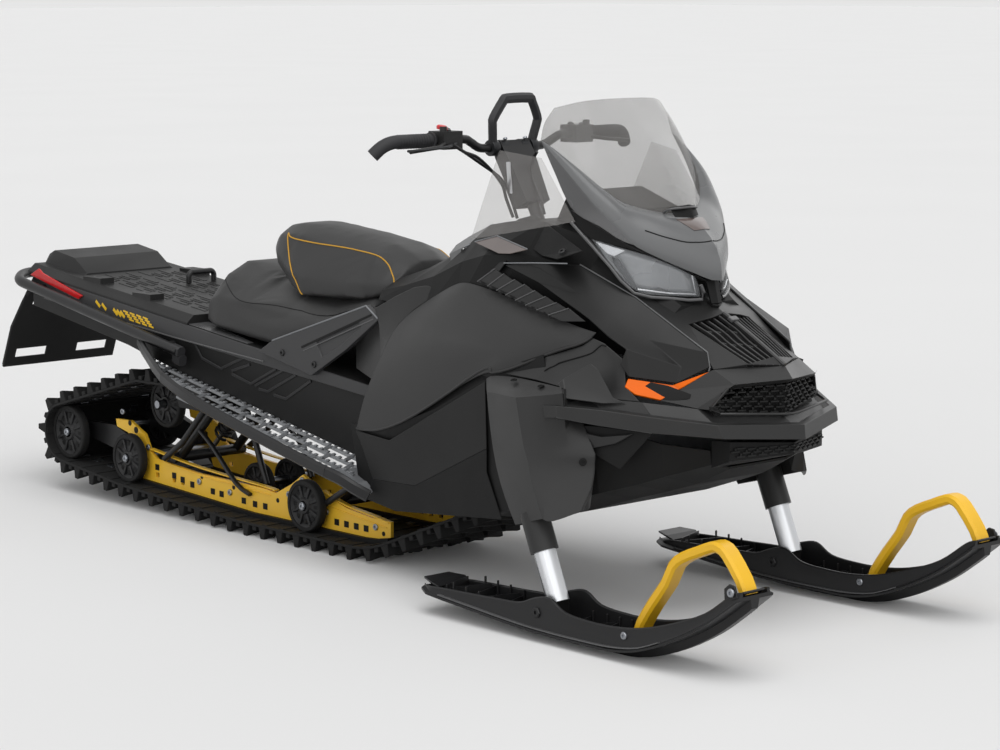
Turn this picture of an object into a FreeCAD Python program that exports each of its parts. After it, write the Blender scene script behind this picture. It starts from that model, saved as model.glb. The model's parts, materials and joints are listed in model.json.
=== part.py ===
"""Utility snowmobile: two steered skis in front, one driven track behind.

Frame: +X to the nose, +Y to the rider's left, +Z up. The floor is z = 0 and the
origin lies on it under the middle of the machine. Lengths are millimetres.
"""
import FreeCAD, Part
import math
import os

V = FreeCAD.Vector
ACROSS = V(0, 1, 0)

os.makedirs("parts", exist_ok=True)
doc = FreeCAD.newDocument("snowmobile")

# ---------------------------------------------------------------- driving sizes
SIZES = {
    # track loop
    "track_width": 406.0,
    "belt_thick": 7.0,
    "lug_height": 32.0,
    "lug_pitch": 72.6,
    "lug_foot": 30.0,
    "lug_crest": 15.0,
    "idler_radius": 71.0,
    "rear_wheel_radius": 80.0,
    "drive_radius": 95.0,
    "wheel_width": 26.0,
    "wheel_offset": 165.0,
    "axle_radius": 11.0,
    # slide rails
    "rail_offset": 132.0,
    "rail_thick": 10.0,
    "shoe_thick": 12.0,
    "shoe_width": 32.0,
    # tunnel, boards and cargo deck
    "tunnel_clearance": 5.0,
    "tunnel_wall": 4.0,
    "tunnel_rear": -1400.0,
    "tunnel_front": 330.0,
    "tunnel_rise": 0.112,
    "tunnel_top_mid": 514.0,
    "deck_height": 26.0,
    "deck_front": -640.0,
    "board_half": 368.0,
    "board_thick": 14.0,
    "board_tube_radius": 13.0,
    "bumper_stand": 35.0,
    "bumper_radius": 15.0,
    "bumper_rear": -1490.0,
    "flap_half": 200.0,
    "flap_thick": 8.0,
    "flap_foot_x": -1592.0,
    "flap_foot_z": 345.0,
    # side braces
    "brace_thick": 16.0,
    # skis
    "ski_stance": 813.0,
    "ski_half": 62.0,
    "ski_flange": 12.0,
    "ski_wall": 8.0,
    "ski_floor": 9.0,
    "keel_half": 14.0,
    "loop_width": 46.0,
    "loop_thick": 28.0,
    "leg_depth": 54.0,
    "leg_breadth": 52.0,
    "leg_rake": 22.9,
    "leg_foot_x": 1022.0,
    "leg_foot_z": 78.0,
    "collar_wall": 4.0,
    "strut_radius": 26.0,
    "strut_clearance": 0.3,
    "mouth_clearance": 7.0,
    "pin_radius": 8.0,
    # steering
    "column_rake": 29.0,
    "clamp_x": 430.0,
    "clamp_z": 1086.0,
    "riser_length": 160.0,
    "post_radius": 16.0,
    "post_length": 70.0,
    "post_clearance": 0.3,
    "bar_radius": 11.0,
    "grip_radius": 17.0,
    "grip_inner": 270.0,
    "grip_outer": 385.0,
    "strap_radius": 12.0,
    "strap_half": 76.0,
    "strap_height": 119.0,
    # shells
    "panel_wall": 5.0,
    "panel_gap": 0.3,
    "screen_wall": 4.0,
    "engine_length": 360.0,
    "engine_width": 360.0,
    "engine_height": 330.0,
}

sheet = doc.addObject("Spreadsheet::Sheet", "Sizes")
for row, (alias, value) in enumerate(SIZES.items(), 1):
    sheet.set("A%d" % row, alias)
    sheet.set("B%d" % row, "%.6f" % value)
    sheet.setAlias("B%d" % row, alias)
doc.recompute()


def size(alias):
    """Read one driving size back from the sheet."""
    return float(sheet.get(alias))


# half the tunnel's outer width: it clears the track on both sides
TUNNEL_HALF = size("track_width") / 2 + size("tunnel_clearance") + size("tunnel_wall")


# ---------------------------------------------------------------- helpers
subparts = []


def keep(label, thing):
    """Name a finished sub-part and put it on the list that is written out."""
    thing.Label = label
    subparts.append(thing)
    return thing


def feature(label, shape):
    """A sub-part whose shape comes from Part's own functions."""
    thing = doc.addObject("Part::Feature", label)
    thing.Shape = shape
    thing.Placement = FreeCAD.Placement()
    return keep(label, thing)


def plane_of(body, role):
    """One of a body's own origin planes."""
    return [item for item in body.Origin.OriginFeatures if item.Role == role][0]


def side_body(name, outline, width_alias, middle_y=0.0):
    """A PartDesign body: an (x, z) outline padded evenly to both sides of middle_y."""
    body = doc.addObject("PartDesign::Body", name)
    sketch = body.newObject("Sketcher::SketchObject", name + "_outline")
    sketch.AttachmentSupport = [(plane_of(body, "XZ_Plane"), "")]
    sketch.MapMode = "FlatFace"
    count = len(outline)
    for index in range(count):
        start, end = outline[index], outline[(index + 1) % count]
        sketch.addGeometry(Part.LineSegment(V(*start, 0), V(*end, 0)), False)
    pad = body.newObject("PartDesign::Pad", name + "_pad")
    pad.Profile = sketch
    pad.Midplane = True
    pad.setExpression("Length", width_alias)
    body.Placement = FreeCAD.Placement(V(0, middle_y, 0), FreeCAD.Rotation())
    return body


def polygon(points):
    """A closed wire through points."""
    return Part.makePolygon(list(points) + [points[0]])


def slab(outline, low_y, high_y):
    """An (x, z) outline extruded along Y."""
    face = Part.Face(polygon([V(x, low_y, z) for x, z in outline]))
    return face.extrude(V(0, high_y - low_y, 0))


def flat_or_fan(points):
    """One flat face through points, or a fan of triangles where they don't lie in a plane."""
    normal = (points[1] - points[0]).cross(points[2] - points[0])
    if normal.Length > 1e-6:
        normal.normalize()
        if max(abs((spot - points[0]).dot(normal)) for spot in points) < 1e-7:
            return [Part.Face(polygon(points))]
    corners = [(points[0], points[i], points[i + 1]) for i in range(1, len(points) - 1)]
    return [Part.Face(polygon(three)) for three in corners]


def loft(sections):
    """A solid of flat facets through closed sections with equal numbers of points.

    Where four corners don't lie in a plane they are split along a diagonal. The first and
    second half of a section are split opposite ways, so the two faces of a wall stay parallel.
    """
    faces = flat_or_fan(sections[0]) + flat_or_fan(sections[-1])
    count = len(sections[0])
    for near, far in zip(sections, sections[1:]):
        for i in range(count):
            j = (i + 1) % count
            corners = [near[i], near[j], far[j], far[i]]
            if 2 * i >= count:
                corners = corners[1:] + corners[:1]
            ring = [spot for k, spot in enumerate(corners) if not spot.isEqual(corners[k - 1], 1e-7)]
            if len(ring) > 2:
                faces.extend(flat_or_fan(ring))
    solid = Part.Solid(Part.Shell(faces))
    solid.fix(1e-6, 1e-6, 1e-6)
    return solid if solid.Volume > 0 else solid.reversed()


def mirrored(shape):
    """The same shape on the other side of the machine."""
    return shape.mirror(V(0, 0, 0), ACROSS)


def both_sides(shape):
    """A right-hand solid together with its left-hand twin."""
    return Part.makeCompound([shape, mirrored(shape)])


def rod(start, end, radius):
    """A round bar between two points."""
    along = end - start
    return Part.makeCylinder(radius, along.Length, start, along)


def tube(points, radius, bend):
    """A round bar along straight runs joined by tangent arcs."""
    edges = []
    previous = points[0]
    for index in range(1, len(points) - 1):
        before, corner, after = points[index - 1], points[index], points[index + 1]
        inward = (before - corner).normalize()
        outward = (after - corner).normalize()
        half_turn = (math.pi - inward.getAngle(outward)) / 2
        shorter = min((before - corner).Length, (after - corner).Length)
        radius_here = min(bend, 0.45 * shorter / math.tan(half_turn))
        reach = radius_here * math.tan(half_turn)
        first, last = corner + inward * reach, corner + outward * reach
        to_centre = (inward + outward).normalize()
        centre = corner + to_centre * (radius_here / math.cos(half_turn))
        middle = centre - to_centre * radius_here
        edges.append(Part.LineSegment(previous, first).toShape())
        edges.append(Part.Arc(first, middle, last).toShape())
        previous = last
    edges.append(Part.LineSegment(previous, points[-1]).toShape())
    path = Part.Wire(edges)
    ring = Part.Wire(Part.Circle(points[0], points[1] - points[0], radius).toShape())
    return path.makePipeShell([ring], True, False)


def ribbon(points, thick):
    """The (x, z) outline of a strip of even thickness along an open line of points."""
    left, right = [], []
    for index, (x, z) in enumerate(points):
        x0, z0 = points[max(index - 1, 0)]
        x1, z1 = points[min(index + 1, len(points) - 1)]
        length_in, length_out = math.hypot(x - x0, z - z0), math.hypot(x1 - x, z1 - z)
        step_in = ((x - x0) / length_in, (z - z0) / length_in) if length_in else None
        step_out = ((x1 - x) / length_out, (z1 - z) / length_out) if length_out else None
        step_in, step_out = step_in or step_out, step_out or step_in
        across = (-(step_in[1] + step_out[1]), step_in[0] + step_out[0])
        long = math.hypot(*across)
        across = (across[0] / long, across[1] / long)
        stretch = across[0] * -step_in[1] + across[1] * step_in[0]
        reach = thick / 2 / stretch
        left.append((x + across[0] * reach, z + across[1] * reach))
        right.append((x - across[0] * reach, z - across[1] * reach))
    return left + right[::-1]


def shell_section(x, outer, wall):
    """A closed section at x: an open (y, z) line and the same line a wall further in."""
    inner = []
    for index, (y, z) in enumerate(outer):
        y0, z0 = outer[max(index - 1, 0)]
        y1, z1 = outer[min(index + 1, len(outer) - 1)]
        long = math.hypot(y1 - y0, z1 - z0)
        inner.append((y + (z1 - z0) / long * wall, z - (y1 - y0) / long * wall))
    return [V(x, y, z) for y, z in outer + inner[::-1]]


# ---------------------------------------------------------------- track loop
lug_tip_to_belt = size("lug_height") + size("belt_thick")
belt_floor = lug_tip_to_belt

# Guides the belt runs round, as seen from the right, in order from the drive
# wheel down the nose of the rails, back along the floor and home over the top.
# columns: x, z, radius of the belt's inner face
GUIDES = [
    (500.0, 300.0, size("drive_radius")),
    (20.0, belt_floor + 400.0, 400.0),
    (-450.0, belt_floor + 300.0, 300.0),
    (-993.0, 138.0, size("idler_radius")),
    (-1286.0, 180.0, size("rear_wheel_radius")),
    (-900.0, 300.0, size("idler_radius")),
]


def outer_tangent(first, second):
    """Where the outer tangent leaves the first guide and meets the second."""
    (x0, z0, r0), (x1, z1, r1) = first, second
    span = math.hypot(x1 - x0, z1 - z0)
    heading = math.atan2(z1 - z0, x1 - x0)
    lean = math.asin((r1 - r0) / span)
    normal = heading + math.pi / 2 + lean
    side = (math.cos(normal), math.sin(normal))
    return (x0 + side[0] * r0, z0 + side[1] * r0), (x1 + side[0] * r1, z1 + side[1] * r1)


def loop_pieces(extra):
    """The belt line at a distance outside the guides, as (kind, data, length)."""
    rings = [(x, z, radius + extra) for x, z, radius in GUIDES]
    count = len(rings)
    lines = [outer_tangent(rings[i], rings[(i + 1) % count]) for i in range(count)]
    pieces = []
    for i in range(count):
        leave, meet = lines[i]
        x, z, radius = rings[(i + 1) % count]
        pieces.append(("line", (leave, meet), math.dist(leave, meet)))
        start = math.atan2(meet[1] - z, meet[0] - x)
        onward = lines[(i + 1) % count][0]
        end = math.atan2(onward[1] - z, onward[0] - x)
        sweep = (start - end) % (2 * math.pi)
        pieces.append(("arc", (x, z, radius, start, sweep), radius * sweep))
    return pieces


def point_on(pieces, distance):
    """The point and outward direction at a distance along the loop."""
    distance %= sum(length for _, _, length in pieces)
    for kind, data, length in pieces:
        if distance <= length:
            break
        distance -= length
    if kind == "line":
        (x0, z0), (x1, z1) = data
        share = distance / length
        out = ((z0 - z1) / length, (x1 - x0) / length)
        return (x0 + (x1 - x0) * share, z0 + (z1 - z0) * share), out
    x, z, radius, start, sweep = data
    angle = start - distance / radius
    out = (math.cos(angle), math.sin(angle))
    return (x + out[0] * radius, z + out[1] * radius), out


def loop_wire(extra, y):
    """The belt line as exact lines and arcs."""
    edges = []
    for kind, data, _ in loop_pieces(extra):
        if kind == "line":
            (x0, z0), (x1, z1) = data
            edges.append(Part.LineSegment(V(x0, y, z0), V(x1, y, z1)).toShape())
            continue
        x, z, radius, start, sweep = data
        angles = (start, start - sweep / 2, start - sweep)
        spots = [V(x + radius * math.cos(a), y, z + radius * math.sin(a)) for a in angles]
        edges.append(Part.Arc(*spots).toShape())
    return Part.Wire(edges)


def make_track():
    """One closed belt with a tapered lug across it at every pitch."""
    half = size("track_width") / 2
    pieces = loop_pieces(size("belt_thick"))
    around = sum(length for _, _, length in pieces)
    count = round(around / size("lug_pitch"))
    pitch = around / count
    # a lug's corners: distance along the belt from the lug's middle, height over the belt
    lug = [(-size("lug_foot") / 2, 0.0), (-size("lug_crest") / 2, size("lug_height")),
           (size("lug_crest") / 2, size("lug_height")), (size("lug_foot") / 2, 0.0)]
    outline = []
    for index in range(count):
        middle = (index + 0.5) * pitch
        for along, height in lug + [(pitch / 2, 0.0)]:
            foot, out = point_on(pieces, middle + along)
            outline.append(V(foot[0] + out[0] * height, -half, foot[1] + out[1] * height))
    face = Part.Face([polygon(outline), loop_wire(0.0, -half)])
    face.fix(1e-6, 1e-6, 1e-6)
    return feature("track", face.extrude(V(0, 2 * half, 0)))


make_track()


# ---------------------------------------------------------------- wheels and rails
def spoked_wheel(x, y, z, radius):
    """A rubber-rimmed disc with a dished web and a hub, built round its own axle line."""
    half = size("wheel_width") / 2
    rim = radius - 13.0
    hub = size("axle_radius") + 12.0
    web = half - 8.0
    # half section: distance from the axle, distance along it
    bore = size("axle_radius") + 0.05
    section = [(bore, -half), (hub, -half), (hub, -web), (rim, -web),
               (rim, -half), (radius, -half), (radius, half), (rim, half),
               (rim, web), (hub, web), (hub, half), (bore, half)]
    face = Part.Face(polygon([V(x + reach, y + along, z) for reach, along in section]))
    return face.revolve(V(x, y, z), ACROSS, 360)


def wheel_row(x, z, radius, offsets):
    """Wheels of one size on one axle line."""
    return [spoked_wheel(x, y, z, radius) for y in offsets]


def axle(x, z, reach):
    """A plain shaft across the machine, a running fit inside its wheels."""
    return rod(V(x, -reach, z), V(x, reach, z), size("axle_radius"))


wheel_offset = size("wheel_offset")
sides = (-wheel_offset, wheel_offset)
upper_sides = (-95.0, 95.0)
front_idler = (-191.0, belt_floor + size("idler_radius"))
rear_idler = GUIDES[3][:2]
centre_idler = (-535.0, 112.0)
CENTRE_RADIUS = 58.0
rear_wheel = GUIDES[4][:2]
upper_idler = GUIDES[5][:2]
idler_radius = size("idler_radius")

feature("idler_wheels", Part.makeCompound(
    wheel_row(*front_idler, idler_radius - 0.3, sides)
    + wheel_row(*rear_idler, idler_radius - 0.3, sides)
    + wheel_row(*centre_idler, CENTRE_RADIUS, (-55.0, 55.0))
    + wheel_row(*upper_idler, idler_radius - 0.3, upper_sides)))
feature("rear_wheels", Part.makeCompound(
    wheel_row(*rear_wheel, size("rear_wheel_radius") - 0.3, sides)))
feature("drive_axle", Part.makeCompound(
    wheel_row(GUIDES[0][0], GUIDES[0][1], size("drive_radius") - 0.3, (-70.0, 70.0))))

hub_end = wheel_offset + size("wheel_width") / 2 + 5.0
feature("cross_shafts", Part.makeCompound([
    axle(*front_idler, hub_end),
    axle(*rear_idler, hub_end),
    axle(*centre_idler, size("rail_offset") - size("rail_thick") / 2 - 0.3),
    axle(*rear_wheel, hub_end),
    axle(*upper_idler, 135.0),
    axle(GUIDES[0][0], GUIDES[0][1], TUNNEL_HALF - size("tunnel_wall")),
]))


def belt_height(x):
    """Height of the belt's inner face at x on the lower run."""
    best = None
    for kind, data, _ in loop_pieces(0.0):
        if kind == "line":
            (x0, z0), (x1, z1) = data
            if min(x0, x1) <= x <= max(x0, x1):
                height = z0 + (z1 - z0) * (x - x0) / (x1 - x0)
                best = height if best is None else min(best, height)
        else:
            cx, cz, radius, start, sweep = data
            if abs(x - cx) < radius:
                height = cz - math.sqrt(radius ** 2 - (x - cx) ** 2)
                angle = math.atan2(height - cz, x - cx)
                if (start - angle) % (2 * math.pi) <= sweep:
                    best = height if best is None else min(best, height)
    return best


shoe_gap = 0.3
shoe_thick = size("shoe_thick")
RAIL_REAR, RAIL_FRONT = -985.0, 118.0
rail_stations = [RAIL_REAR, -720.0, -450.0, -200.0, 20.0, 70.0, RAIL_FRONT]
shoe_bottom = [(x, belt_height(x) + shoe_gap) for x in rail_stations]
shoe_top = [(x, z + shoe_thick) for x, z in shoe_bottom]
# top edge of a rail: x, height over the shoe's top
RAIL_TOP = [(RAIL_FRONT, 42.0), (40.0, 54.0), (-60.0, 66.0), (-170.0, 96.0), (-242.0, 132.0),
            (-290.0, 100.0), (-358.0, 66.0), (-410.0, 72.0), (-700.0, 62.0), (-900.0, 66.0),
            (-932.0, 84.0), (-960.0, 130.0), (-1030.0, 160.0), (-1100.0, 158.0)]
rail_top = [(x, belt_height(max(x, RAIL_REAR)) + shoe_gap + shoe_thick + rise)
            for x, rise in RAIL_TOP]
rail_outline = shoe_top + rail_top + [(-1095.0, rail_top[-1][1] - 22.0),
                                      (-1040.0, rail_top[-1][1] - 34.0)]
rail_body = side_body("rail_plate", rail_outline, "Sizes.rail_thick", -size("rail_offset"))
shoe_body = side_body("shoe_strip", shoe_bottom + shoe_top[::-1], "Sizes.shoe_width",
                      -size("rail_offset"))
doc.recompute()


def rail_with_holes():
    """The padded rail plate with its rows of lightening slots."""
    plate = rail_body.Shape.copy()
    half = size("rail_thick")
    low_y = -size("rail_offset") - half
    for x in (-900.0, -820.0, -780.0, -735.0, -640.0, -600.0, -500.0, -450.0, -405.0,
              -100.0, -60.0, -20.0, 20.0):
        z = belt_height(x) + shoe_gap + shoe_thick + 22.0
        plate = plate.cut(Part.makeBox(16, 2 * half, 14, V(x - 8, low_y, z - 7)))
    for spot in (front_idler, rear_idler):
        hole = Part.makeCylinder(size("axle_radius") + 0.3, 2 * half, V(spot[0], low_y, spot[1]), ACROSS)
        plate = plate.cut(hole)
    return plate


feature("slide_rails", both_sides(rail_with_holes()))
feature("slide_shoes", both_sides(shoe_body.Shape.copy()))


# ---------------------------------------------------------------- tunnel and boards
def tunnel_top(x):
    """Height of the tunnel's top plate: it climbs to the rear."""
    return size("tunnel_top_mid") - (x + 240.0) * size("tunnel_rise")


def board_inner(x):
    """Height where the tunnel's side meets the running board."""
    return 296.0 - x * 0.187


# where the body's side panels begin
BODY_REAR = 175.0

# where the suspension arms hang from the tunnel: x, z
FRONT_PIVOT = (120.0, 310.0)
REAR_PIVOT = (-640.0, 345.0)

rear, front = size("tunnel_rear"), size("tunnel_front")
wall = size("tunnel_wall")
half = TUNNEL_HALF
# side wall of the tunnel: it deepens from the tail to the foot well
bracket_x, bracket_z = REAR_PIVOT
side_outline = [
    (rear, tunnel_top(rear)), (rear, tunnel_top(rear) - 95.0), (-930.0, board_inner(-930.0) + 6.0),
    (bracket_x - 95.0, board_inner(bracket_x - 95.0)), (bracket_x - 50.0, bracket_z - 22.0),
    (bracket_x + 50.0, bracket_z - 22.0), (bracket_x + 95.0, board_inner(bracket_x + 95.0)),
    (front, board_inner(front)), (front, tunnel_top(front)),
]
side_plate = slab(side_outline, -half, -half + wall)
top_outline = [(rear, tunnel_top(rear)), (front, tunnel_top(front)),
               (front, tunnel_top(front) - wall), (rear, tunnel_top(rear) - wall)]
top_plate = slab(top_outline, -half, half)
feature("tunnel", side_plate.fuse(top_plate).fuse(mirrored(side_plate)).removeSplitter())


def make_boards():
    """Ribbed steps beside the tunnel, each with a tube along its outer edge."""
    outer, thick = size("board_half"), size("board_thick")
    lip = size("board_tube_radius")
    # columns: x, height, outer reach
    rows = [(-800.0, 0.0, 262.0), (-640.0, 0.0, 330.0), (-560.0, 0.0, outer - lip),
            (BODY_REAR - 0.3, 0.0, outer - lip)]
    sections = []
    for x, lift, reach in rows:
        z = board_inner(x) + lift
        sections.append([V(x, -half - 0.3, z), V(x, -reach, z),
                         V(x, -reach, z - thick), V(x, -half - 0.3, z - thick)])
    board = loft(sections)
    mid = -thick / 2
    sunk = lip - 3.0
    path = [V(x, -reach - (sunk if reach > 330 else 0.0), board_inner(x) + mid) for x, _, reach in rows]
    path = [path[0] + V(0, -4, 0), path[1] + V(0, -10, 0), path[2], path[3]]
    edge = tube(path, lip, 120.0)
    return board.fuse(edge)


feature("running_boards", both_sides(make_boards()))


def make_cargo_deck():
    """Moulded rack on the tunnel with a raised box at its tail."""
    low, high = tunnel_top, lambda x: tunnel_top(x) + size("deck_height")
    deck_front = size("deck_front")
    # columns: x, half width at the foot, half width at the top, top height over the deck
    rows = [(rear - 15.0, half + 6.0, half - 18.0, 0.0), (deck_front, half + 6.0, half - 18.0, 0.0)]
    sections = []
    for x, foot, top, lift in rows:
        base, crown = low(x) + 0.3, high(x) + lift
        sections.append([V(x, -foot, base), V(x, -foot, base + 6), V(x, -top, crown),
                         V(x, top, crown), V(x, foot, base + 6), V(x, foot, base)])
    deck = loft(sections)
    # the tail box, same columns
    box_foot, box_top = half - 44.0, half - 62.0
    box_rows = [(rear - 5.0, box_foot, box_top - 2.0, 26.0), (rear + 25.0, box_foot, box_top, 42.0),
                (rear + 125.0, box_foot, box_top, 38.0), (rear + 190.0, box_foot, box_top, 4.0)]
    sections = []
    for x, foot, top, lift in box_rows:
        base, crown = high(x) - 6.0, high(x) + lift
        sections.append([V(x, -foot, base), V(x, -top, crown), V(x, top, crown), V(x, foot, base)])
    deck = deck.fuse(loft(sections))
    # four accessory anchor pads near the deck's edges
    for x in (-1165.0, -925.0):
        for side in (-1, 1):
            pad = Part.makeBox(86, 48, 20, V(x, side * (half - 40.0) - 24.0, high(x) - 12.0))
            deck = deck.fuse(pad)
    return deck.removeSplitter()


feature("cargo_deck", make_cargo_deck())

# side skirts of the rack: the light upper band over the tunnel's flank
skirt_low = [(-1330.0, tunnel_top(-1330.0) - 62.0), (-640.0, tunnel_top(-640.0) - 46.0),
             (150.0, tunnel_top(150.0) - 30.0)]
skirt_outline = [(x, tunnel_top(x)) for x in (150.0, -1330.0)] + skirt_low
feature("tunnel_skirts", both_sides(slab(skirt_outline, -half - 7.0, -half - 0.3)))


def make_bumper():
    """Tube that wraps the tail and runs forward along both flanks."""
    reach, tail = half + size("bumper_stand"), size("bumper_rear")
    path = [V(-640.0, -reach, 488.0), V(-1425.0, -reach, 623.0), V(tail, -reach + 60.0, 636.0),
            V(tail, reach - 60.0, 636.0), V(-1425.0, reach, 623.0), V(-640.0, reach, 488.0)]
    bar = tube(path, size("bumper_radius"), 90.0)
    gap = reach - half
    for x, z in ((-700.0, 498.3), (-1330.0, 606.8)):
        for side in (-1, 1):
            foot = V(x, side * (half + 7.2), z)
            bar = bar.fuse(rod(foot, foot + V(0, side * (gap - 7.2), 0), 12.0))
    return feature("rear_bumper", bar)


make_bumper()

flap_top = (-1403.5, tunnel_top(-1403.5) - 2.2)
flap_line = [flap_top, (-1470.0, 560.0), (-1540.0, 470.0), (size("flap_foot_x"), size("flap_foot_z"))]
flap_half = size("flap_half")
flap = slab(ribbon(flap_line, size("flap_thick")), -flap_half, flap_half)
# four windows: x is set by the flap's own slope. columns: y, height, half width, half height
for y, z, wide, tall in ((-120.0, 560.0, 42.0, 20.0), (120.0, 560.0, 42.0, 20.0),
                         (-110.0, 385.0, 55.0, 13.0), (110.0, 385.0, 55.0, 13.0)):
    flap = flap.cut(Part.makeBox(400.0, 2 * wide, 2 * tall, V(-1750.0, y - wide, z - tall)))
feature("snow_flap", flap)

feature("tail_lamps", both_sides(slab(
    [(-1395.0, 640.0), (-1350.0, 662.0), (-1330.0, 650.0), (-1130.0, 600.0), (-1150.0, 588.0)],
    -half - 14.0, -half - 7.3)))

hook_x, hook_foot, hook_top = -1000.0, tunnel_top(-1000.0) + 27.4, tunnel_top(-1000.0) + 58.0
hook_sides = (half - 62.0, half - 152.0)
feature("cargo_hook", tube([V(hook_x, hook_sides[0], hook_foot), V(hook_x, hook_sides[0], hook_top),
                            V(hook_x, hook_sides[1], hook_top), V(hook_x, hook_sides[1], hook_foot)],
                           8.0, 20.0))


# ---------------------------------------------------------------- seat
# bench: x, crown height, then how far in from the tunnel's side its foot, shoulder and crown lie
BENCH = [(-640.0, 640.0, 62.0, 62.0, 102.0), (-560.0, 712.0, 27.0, 34.0, 92.0),
         (-440.0, 704.0, 7.0, 22.0, 77.0), (-240.0, 668.0, 7.0, 14.0, 52.0),
         (120.0, 672.0, 16.0, 16.0, 47.0)]
SEAT_GAP = 0.3


def bench_crown(x):
    """Height of the bench's top at x."""
    for (x0, z0, *_), (x1, z1, *_) in zip(BENCH, BENCH[1:]):
        if x0 <= x <= x1:
            return z0 + (z1 - z0) * (x - x0) / (x1 - x0)


def seat_bench():
    """Rear bench: a faceted block that the tunnel carries."""
    sections = []
    for x, crown, *insets in BENCH:
        low, mid, top = [half - inset for inset in insets]
        foot, shoulder = tunnel_top(x) + SEAT_GAP, crown - 45.0
        sections.append([V(x, -low, foot), V(x, -mid, shoulder), V(x, -top, crown),
                         V(x, top, crown), V(x, mid, shoulder), V(x, low, foot)])
    return loft(sections)


feature("seat_base", seat_bench())

# cushion: x, foot height over the bench, crown height, half width at foot and crown
CUSHION = [(-450.0, 34.0, 790.0, 100.0, 60.0), (-400.0, 14.0, 838.0, 126.0, 80.0),
           (-340.0, 3.0, 852.0, 140.0, 92.0), (-240.0, SEAT_GAP, 850.0, 155.0, 98.0),
           (60.0, SEAT_GAP, 812.0, 164.0, 105.0), (112.0, 16.0, 786.0, 155.0, 98.0)]


def seat_top():
    """Driver's cushion over the front of the bench."""
    sections = []
    for x, lift, crown, low, top in CUSHION:
        foot = bench_crown(x) + lift
        waist = foot + 0.45 * (crown - foot)
        sections.append([V(x, -low, foot), V(x, -low, waist), V(x, -top, crown),
                         V(x, top, crown), V(x, low, waist), V(x, low, foot)])
    return loft(sections)


feature("seat_cushion", seat_top())

skirt_outer = half + 7.0
brace_inner = skirt_outer + 0.3
brace_outer = brace_inner + size("brace_thick")
BRACE_OUTLINE = [(-305.0, 520.0), (-243.0, 556.0), (140.0, 682.0), (190.0, 650.0), (60.0, 560.0),
                 (-82.0, 478.0)]
brace = slab(BRACE_OUTLINE, -brace_outer, -brace_inner)
brace = brace.cut(slab([(-60.0, 570.0), (110.0, 640.0), (120.0, 625.0), (40.0, 570.0), (-40.0, 530.0)],
                       -brace_outer + 4.0, -brace_outer - 4.0))
feature("side_braces", both_sides(brace))

# ---------------------------------------------------------------- body shells
# Right-hand line of the body at each station, from the belly's edge to the hood's crease.
# columns: x, then reach and height at the chine, step, bulge and shoulder
BODY = [
    (BODY_REAR, 292, 205, 322, 392, 322, 560, 250, 730),
    (330.0, 300, 208, 338, 398, 345, 600, 255, 762),
    (520.0, 320, 218, 345, 470, 358, 640, 244, 790),
    (700.0, 345, 240, 352, 560, 362, 665, 238, 806),
    (900.0, 345, 285, 362, 578, 354, 675, 264, 750),
    (1045.0, 310, 330, 350, 600, 332, 652, 280, 693),
]
wall, gap = size("panel_wall"), size("panel_gap")


def body_line(row, first, last):
    """Points first to last of one station, on the right-hand side."""
    pairs = [(-row[i], row[i + 1]) for i in range(1, 9, 2)]
    return pairs[first:last + 1]


side_panel = loft([shell_section(row[0], body_line(row, 1, 3), wall) for row in BODY])
feature("side_panels", both_sides(side_panel))

# Under side: x, inner edge of the side flat, flat height, lip reach and height,
# then reach and height of the panel's top edge, just under the side panel's lower edge.
UNDER = [
    (BODY_REAR, 219.0, 190.0, 286.0, 203.0, 318.0, 391.7),
    (330.0, 219.0, 190.0, 294.0, 206.0, 334.0, 397.7),
    (520.0, 219.0, 194.0, 314.0, 216.0, 341.0, 469.7),
    (700.0, 219.0, 212.0, 333.0, 236.0, 348.0, 559.7),
    (900.0, 219.0, 252.0, 339.0, 283.0, 358.0, 577.0),
    (1045.0, 180.0, 300.0, 304.0, 328.0, 346.0, 598.0),
    (1120.0, 150.0, 324.0, 262.0, 352.0, 275.0, 470.0),
    (1180.0, 120.0, 345.0, 230.0, 375.0, 240.0, 452.0),
    (1262.0, 100.0, 388.0, 160.0, 405.0, 165.0, 438.0),
]
lower_sections = []
for x, flat, flat_z, lip, lip_z, step, step_z in UNDER:
    line = [(-flat, flat_z), (-lip, lip_z), (-step, step_z)]
    lower_sections.append(shell_section(x, line, wall))
feature("lower_panels", both_sides(loft(lower_sections)))

# belly pan: the middle of the under side ahead of the track
belly_sections = []
for x, flat, flat_z, *_ in UNDER[3:]:
    reach = flat - 1.75
    belly_sections.append([V(x, -reach, flat_z), V(x, reach, flat_z), V(x, reach, flat_z + wall),
                           V(x, -reach, flat_z + wall)])
feature("belly_pan", loft(belly_sections))

# hood: columns x, crown height, crease half width and height, under-edge half width and height
HOOD = [(1110.0, 758.0, 157.0, 722.0), (1178.0, 721.0, 150.0, 686.0),
        (1226.0, 697.0, 146.0, 656.0), (1300.0, 659.0, 76.0, 632.0), (1330.0, 642.0, 30.0, 629.0)]
hood_sections = []
for x, crown, crease, crease_z in HOOD:
    reach = crease - wall - 2 * gap
    line = [(-reach, crease_z), (-crease * 0.55, crown - 4.0), (crease * 0.55, crown - 4.0),
            (reach, crease_z)]
    hood_sections.append(shell_section(x, line, wall))
hood_solid = loft(hood_sections)
feature("hood", hood_solid)

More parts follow.
